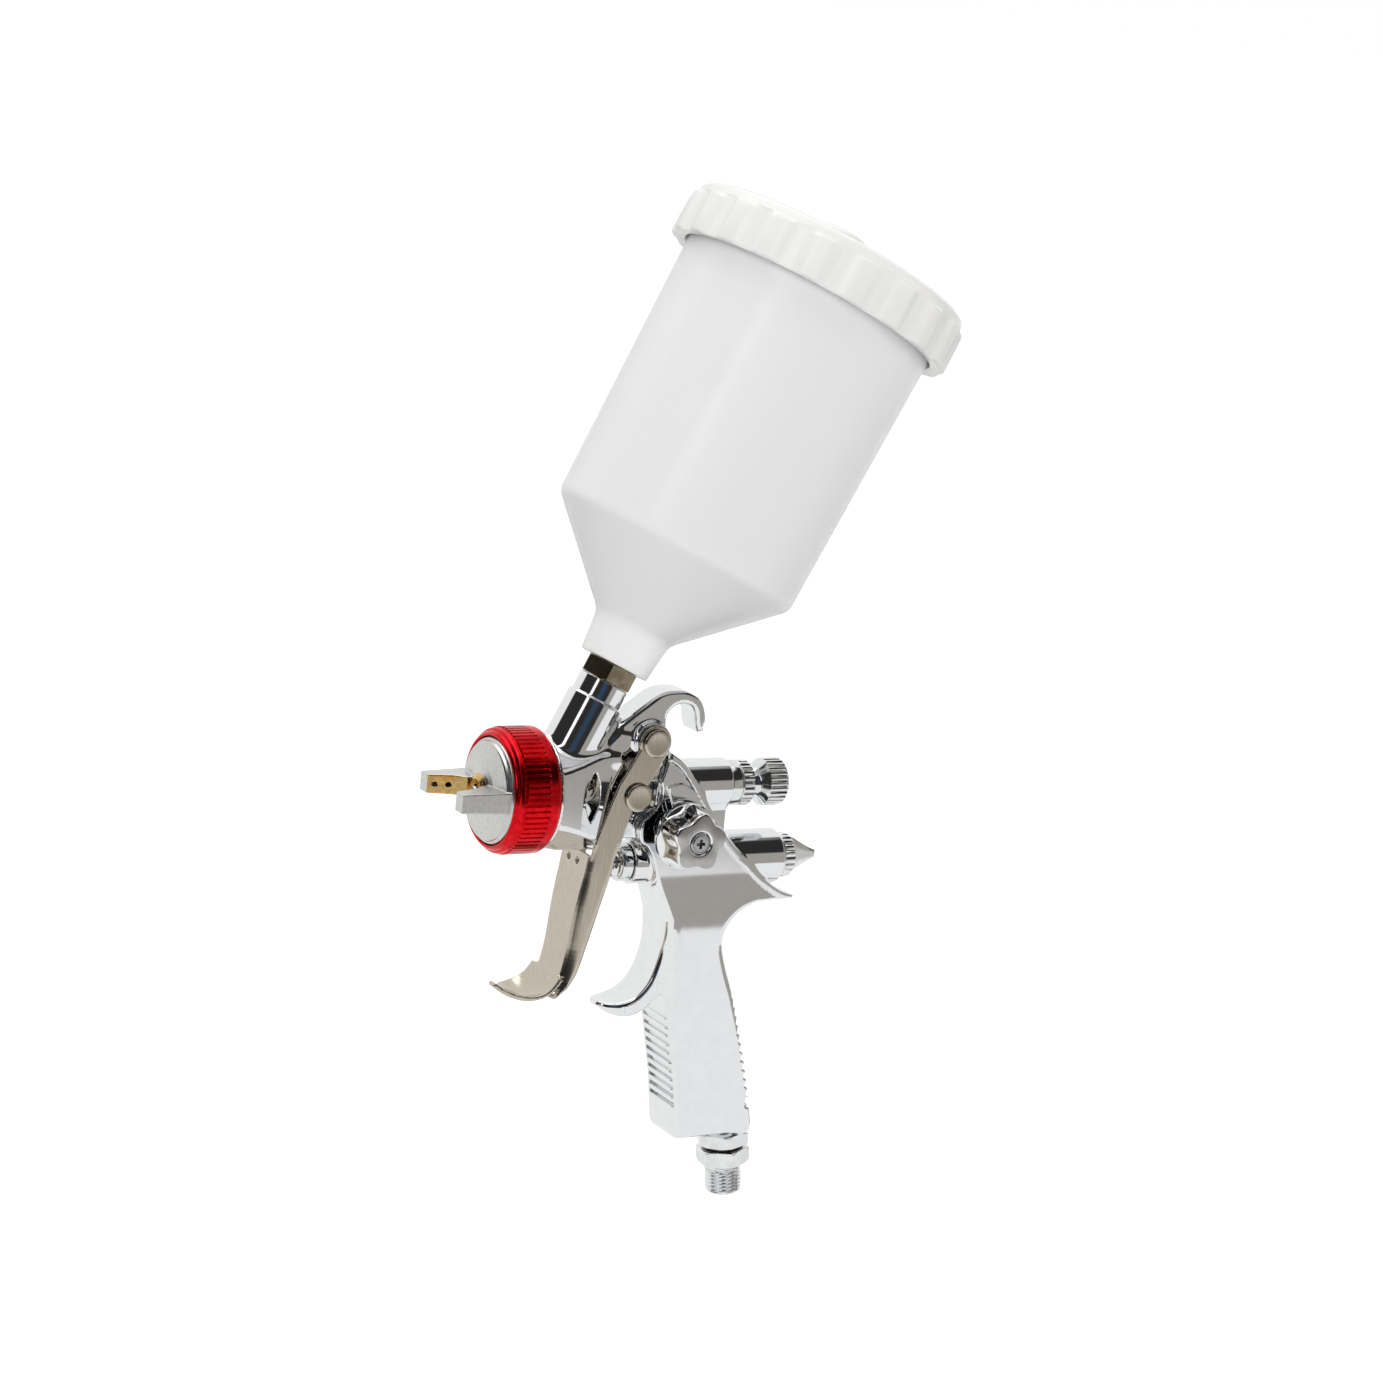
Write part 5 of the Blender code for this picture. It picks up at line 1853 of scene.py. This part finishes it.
@dataclass
class Studio:
    """Floor, lights, surroundings and camera."""

    floor_height: float = -0.035
    floor_size: float = 60.0
    azimuth: float = 30.84
    elevation: float = 12.07
    roll: float = 6.04
    distance: float = 1.2086
    target: Point3 = (18.05, 0.0, 33.12)
    lens: float = 90.92
    middle: Point3 = (-0.03, 0.0, 0.16)
    lamps: tuple[Lamp, ...] = (
        Lamp("top_softbox", (-0.2, 0.3, 1.7), 1.6, 10.0, True),
        Lamp("front_fill", (-1.3, -1.6, 0.9), 1.6, 31.0, False),
        Lamp("right_fill", (1.7, -0.9, 0.6), 1.4, 15.0, False),
    )
    floor_glow: float = 0.72
    floor_tones: tuple[Point3, Point3] = ((0.48, 0.48, 0.48), (0.50, 0.50, 0.50))
    walls: Point3 = (0.92, 0.92, 0.91)
    patches: tuple[Patch, ...] = (
        Patch(-126.0, 100.0, -7.0, 60.0, (0.028, 0.027, 0.026)),
        Patch(-86.0, 14.0, -12.0, 0.0, (0.030, 0.030, 0.032), 3.0),
        Patch(14.0, 98.0, -90.0, 21.0, (0.38, 0.36, 0.335)),
        Patch(14.0, 100.0, -90.0, -14.7, (0.90, 0.90, 0.90), 0.6),
        Patch(-61.0, -50.0, 13.0, 58.0, (1.5, 1.5, 1.5), 1.5),
        Patch(-26.0, -6.0, -8.0, 40.0, (0.035, 0.06, 0.10), 7.0),
    )

    def surroundings(self) -> None:
        """Paint the studio that the metal mirrors: pale walls, a dark side and strip lights."""
        world = bpy.data.worlds.new("studio")
        world.use_nodes = True
        bpy.context.scene.world = world
        tree = world.node_tree
        add, link = tree.nodes.new, tree.links.new
        background = tree.nodes["Background"]
        place = add("ShaderNodeTexCoord")
        apart = add("ShaderNodeSeparateXYZ")
        link(place.outputs["Generated"], apart.inputs["Vector"])

        def math_node(kind: str, *values: object) -> bpy.types.NodeSocket:
            """Add a sum and return its result."""
            node = add("ShaderNodeMath")
            node.operation = kind
            for slot, value in zip(node.inputs, values):
                if isinstance(value, bpy.types.NodeSocket):
                    link(value, slot)
                else:
                    slot.default_value = value
            return node.outputs["Value"]

        def edge(source: bpy.types.NodeSocket, centre: float, soft: float,
                 rising: bool) -> bpy.types.NodeSocket:
            """A soft step at an angle in degrees."""
            node = add("ShaderNodeMapRange")
            node.interpolation_type = "SMOOTHSTEP"
            node.inputs["From Min"].default_value = math.radians(centre - soft)
            node.inputs["From Max"].default_value = math.radians(centre + soft)
            node.inputs["To Min"].default_value = 0.0 if rising else 1.0
            node.inputs["To Max"].default_value = 1.0 if rising else 0.0
            link(source, node.inputs["Value"])
            return node.outputs["Result"]

        back = math_node("MULTIPLY", apart.outputs["Y"], -1.0)
        bearing = math_node("ARCTAN2", apart.outputs["X"], back)
        height = math_node("ARCSINE", apart.outputs["Z"])
        colour: bpy.types.NodeSocket | None = None
        for patch in self.patches:
            mask = edge(bearing, patch.west, patch.soft, True)
            for source, centre, rising in ((bearing, patch.east, False),
                                           (height, patch.low, True),
                                           (height, patch.high, False)):
                mask = math_node("MULTIPLY", mask,
                                 edge(source, centre, patch.soft, rising))
            mix = add("ShaderNodeMix")
            mix.data_type = "RGBA"
            mix.inputs[7].default_value = (*patch.colour, 1.0)
            if colour is None:
                mix.inputs[6].default_value = (*self.walls, 1.0)
            else:
                link(colour, mix.inputs[6])
            link(mask, mix.inputs[0])
            colour = mix.outputs[2]
        seen = add("ShaderNodeLightPath")
        final = add("ShaderNodeMix")
        final.data_type = "RGBA"
        final.inputs[7].default_value = (1.0, 1.0, 1.0, 1.0)
        link(colour, final.inputs[6])
        link(seen.outputs["Is Camera Ray"], final.inputs[0])
        link(final.outputs[2], background.inputs["Color"])

    def hang(self, lamp: Lamp) -> None:
        """Hang one soft light that faces the gun.

        Args:
            lamp: the light.
        """
        data = bpy.data.lights.new(lamp.name, "AREA")
        data.size, data.energy = lamp.side, lamp.power
        item = bpy.data.objects.new(lamp.name, data)
        item.location = lamp.spot
        ahead = Vector(self.middle) - Vector(lamp.spot)
        item.rotation_euler = ahead.to_track_quat("-Z", "Y").to_euler()
        item.visible_glossy = lamp.mirrored
        item.visible_camera = False
        bpy.context.scene.collection.objects.link(item)

    def floor(self) -> None:
        """Lay the pale floor, wide enough to fill any view."""
        mesh = bpy.data.meshes.new("studio_floor")
        half, z = self.floor_size / 2, self.floor_height
        mesh.from_pydata([(-half, -half, z), (half, -half, z), (half, half, z),
                          (-half, half, z)], [], [(0, 1, 2, 3)])
        graph = Graph("pale_floor")
        graph.set(Roughness=0.9, Emission_Color=(1.0, 1.0, 1.0, 1.0))
        seen = graph.add("ShaderNodeLightPath")
        glow = graph.add("ShaderNodeMath", operation="MULTIPLY")
        glow.inputs[1].default_value = self.floor_glow
        graph.link(seen.outputs["Is Camera Ray"], glow.inputs[0])
        graph.link(glow.outputs["Value"], graph.shader.inputs["Emission Strength"])
        cloud = graph.noise(3.0, 2.0)
        graph.link(graph.tint(cloud, *self.floor_tones), graph.shader.inputs["Base Color"])
        mesh.materials.append(graph.material)
        item = bpy.data.objects.new("studio_floor", mesh)
        item.visible_glossy = False
        bpy.context.scene.collection.objects.link(item)

    def camera(self) -> None:
        """Set up the camera."""
        a, e, r = (math.radians(v) for v in (self.azimuth, self.elevation, self.roll))
        ahead = Vector((math.sin(a) * math.cos(e), math.cos(a) * math.cos(e), -math.sin(e)))
        target = Vector(Spray.world(np.array([self.target]))[0])
        right = Vector((math.cos(a), -math.sin(a), 0.0))
        up = right.cross(ahead)
        right, up = (math.cos(r) * right + math.sin(r) * up,
                     -math.sin(r) * right + math.cos(r) * up)
        spot = target - self.distance * ahead
        data = bpy.data.cameras.new("camera")
        data.lens, data.sensor_width = self.lens, 36.0
        data.clip_start, data.clip_end = 0.02, 100.0
        item = bpy.data.objects.new("camera", data)
        matrix = Matrix((right, up, -ahead)).transposed().to_4x4()
        matrix.translation = spot
        item.matrix_world = matrix
        bpy.context.scene.collection.objects.link(item)
        bpy.context.scene.camera = item

    def build(self) -> None:
        """Set up the whole studio."""
        self.surroundings()
        self.floor()
        for lamp in self.lamps:
            self.hang(lamp)
        self.camera()
        bpy.context.scene.view_settings.view_transform = "Standard"


def save_sizes() -> None:
    """Bring the view layer up to date."""
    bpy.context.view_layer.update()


def main() -> None:
    """Build the studio and every sub-assembly, then bring the view layer up to date."""
    logging.basicConfig(level=logging.INFO, format="%(name)s: %(message)s")
    Studio().build()
    shop = Workshop(Finishes().paint())
    for assembly in (GunBody(), FrontEnd(), CupAssembly(), TriggerAssembly(),
                     NeedleControl(), AirValve(), FanControl(), AirInlet()):
        assembly.build(shop)
    save_sizes()


if __name__ == "__main__":
    main()
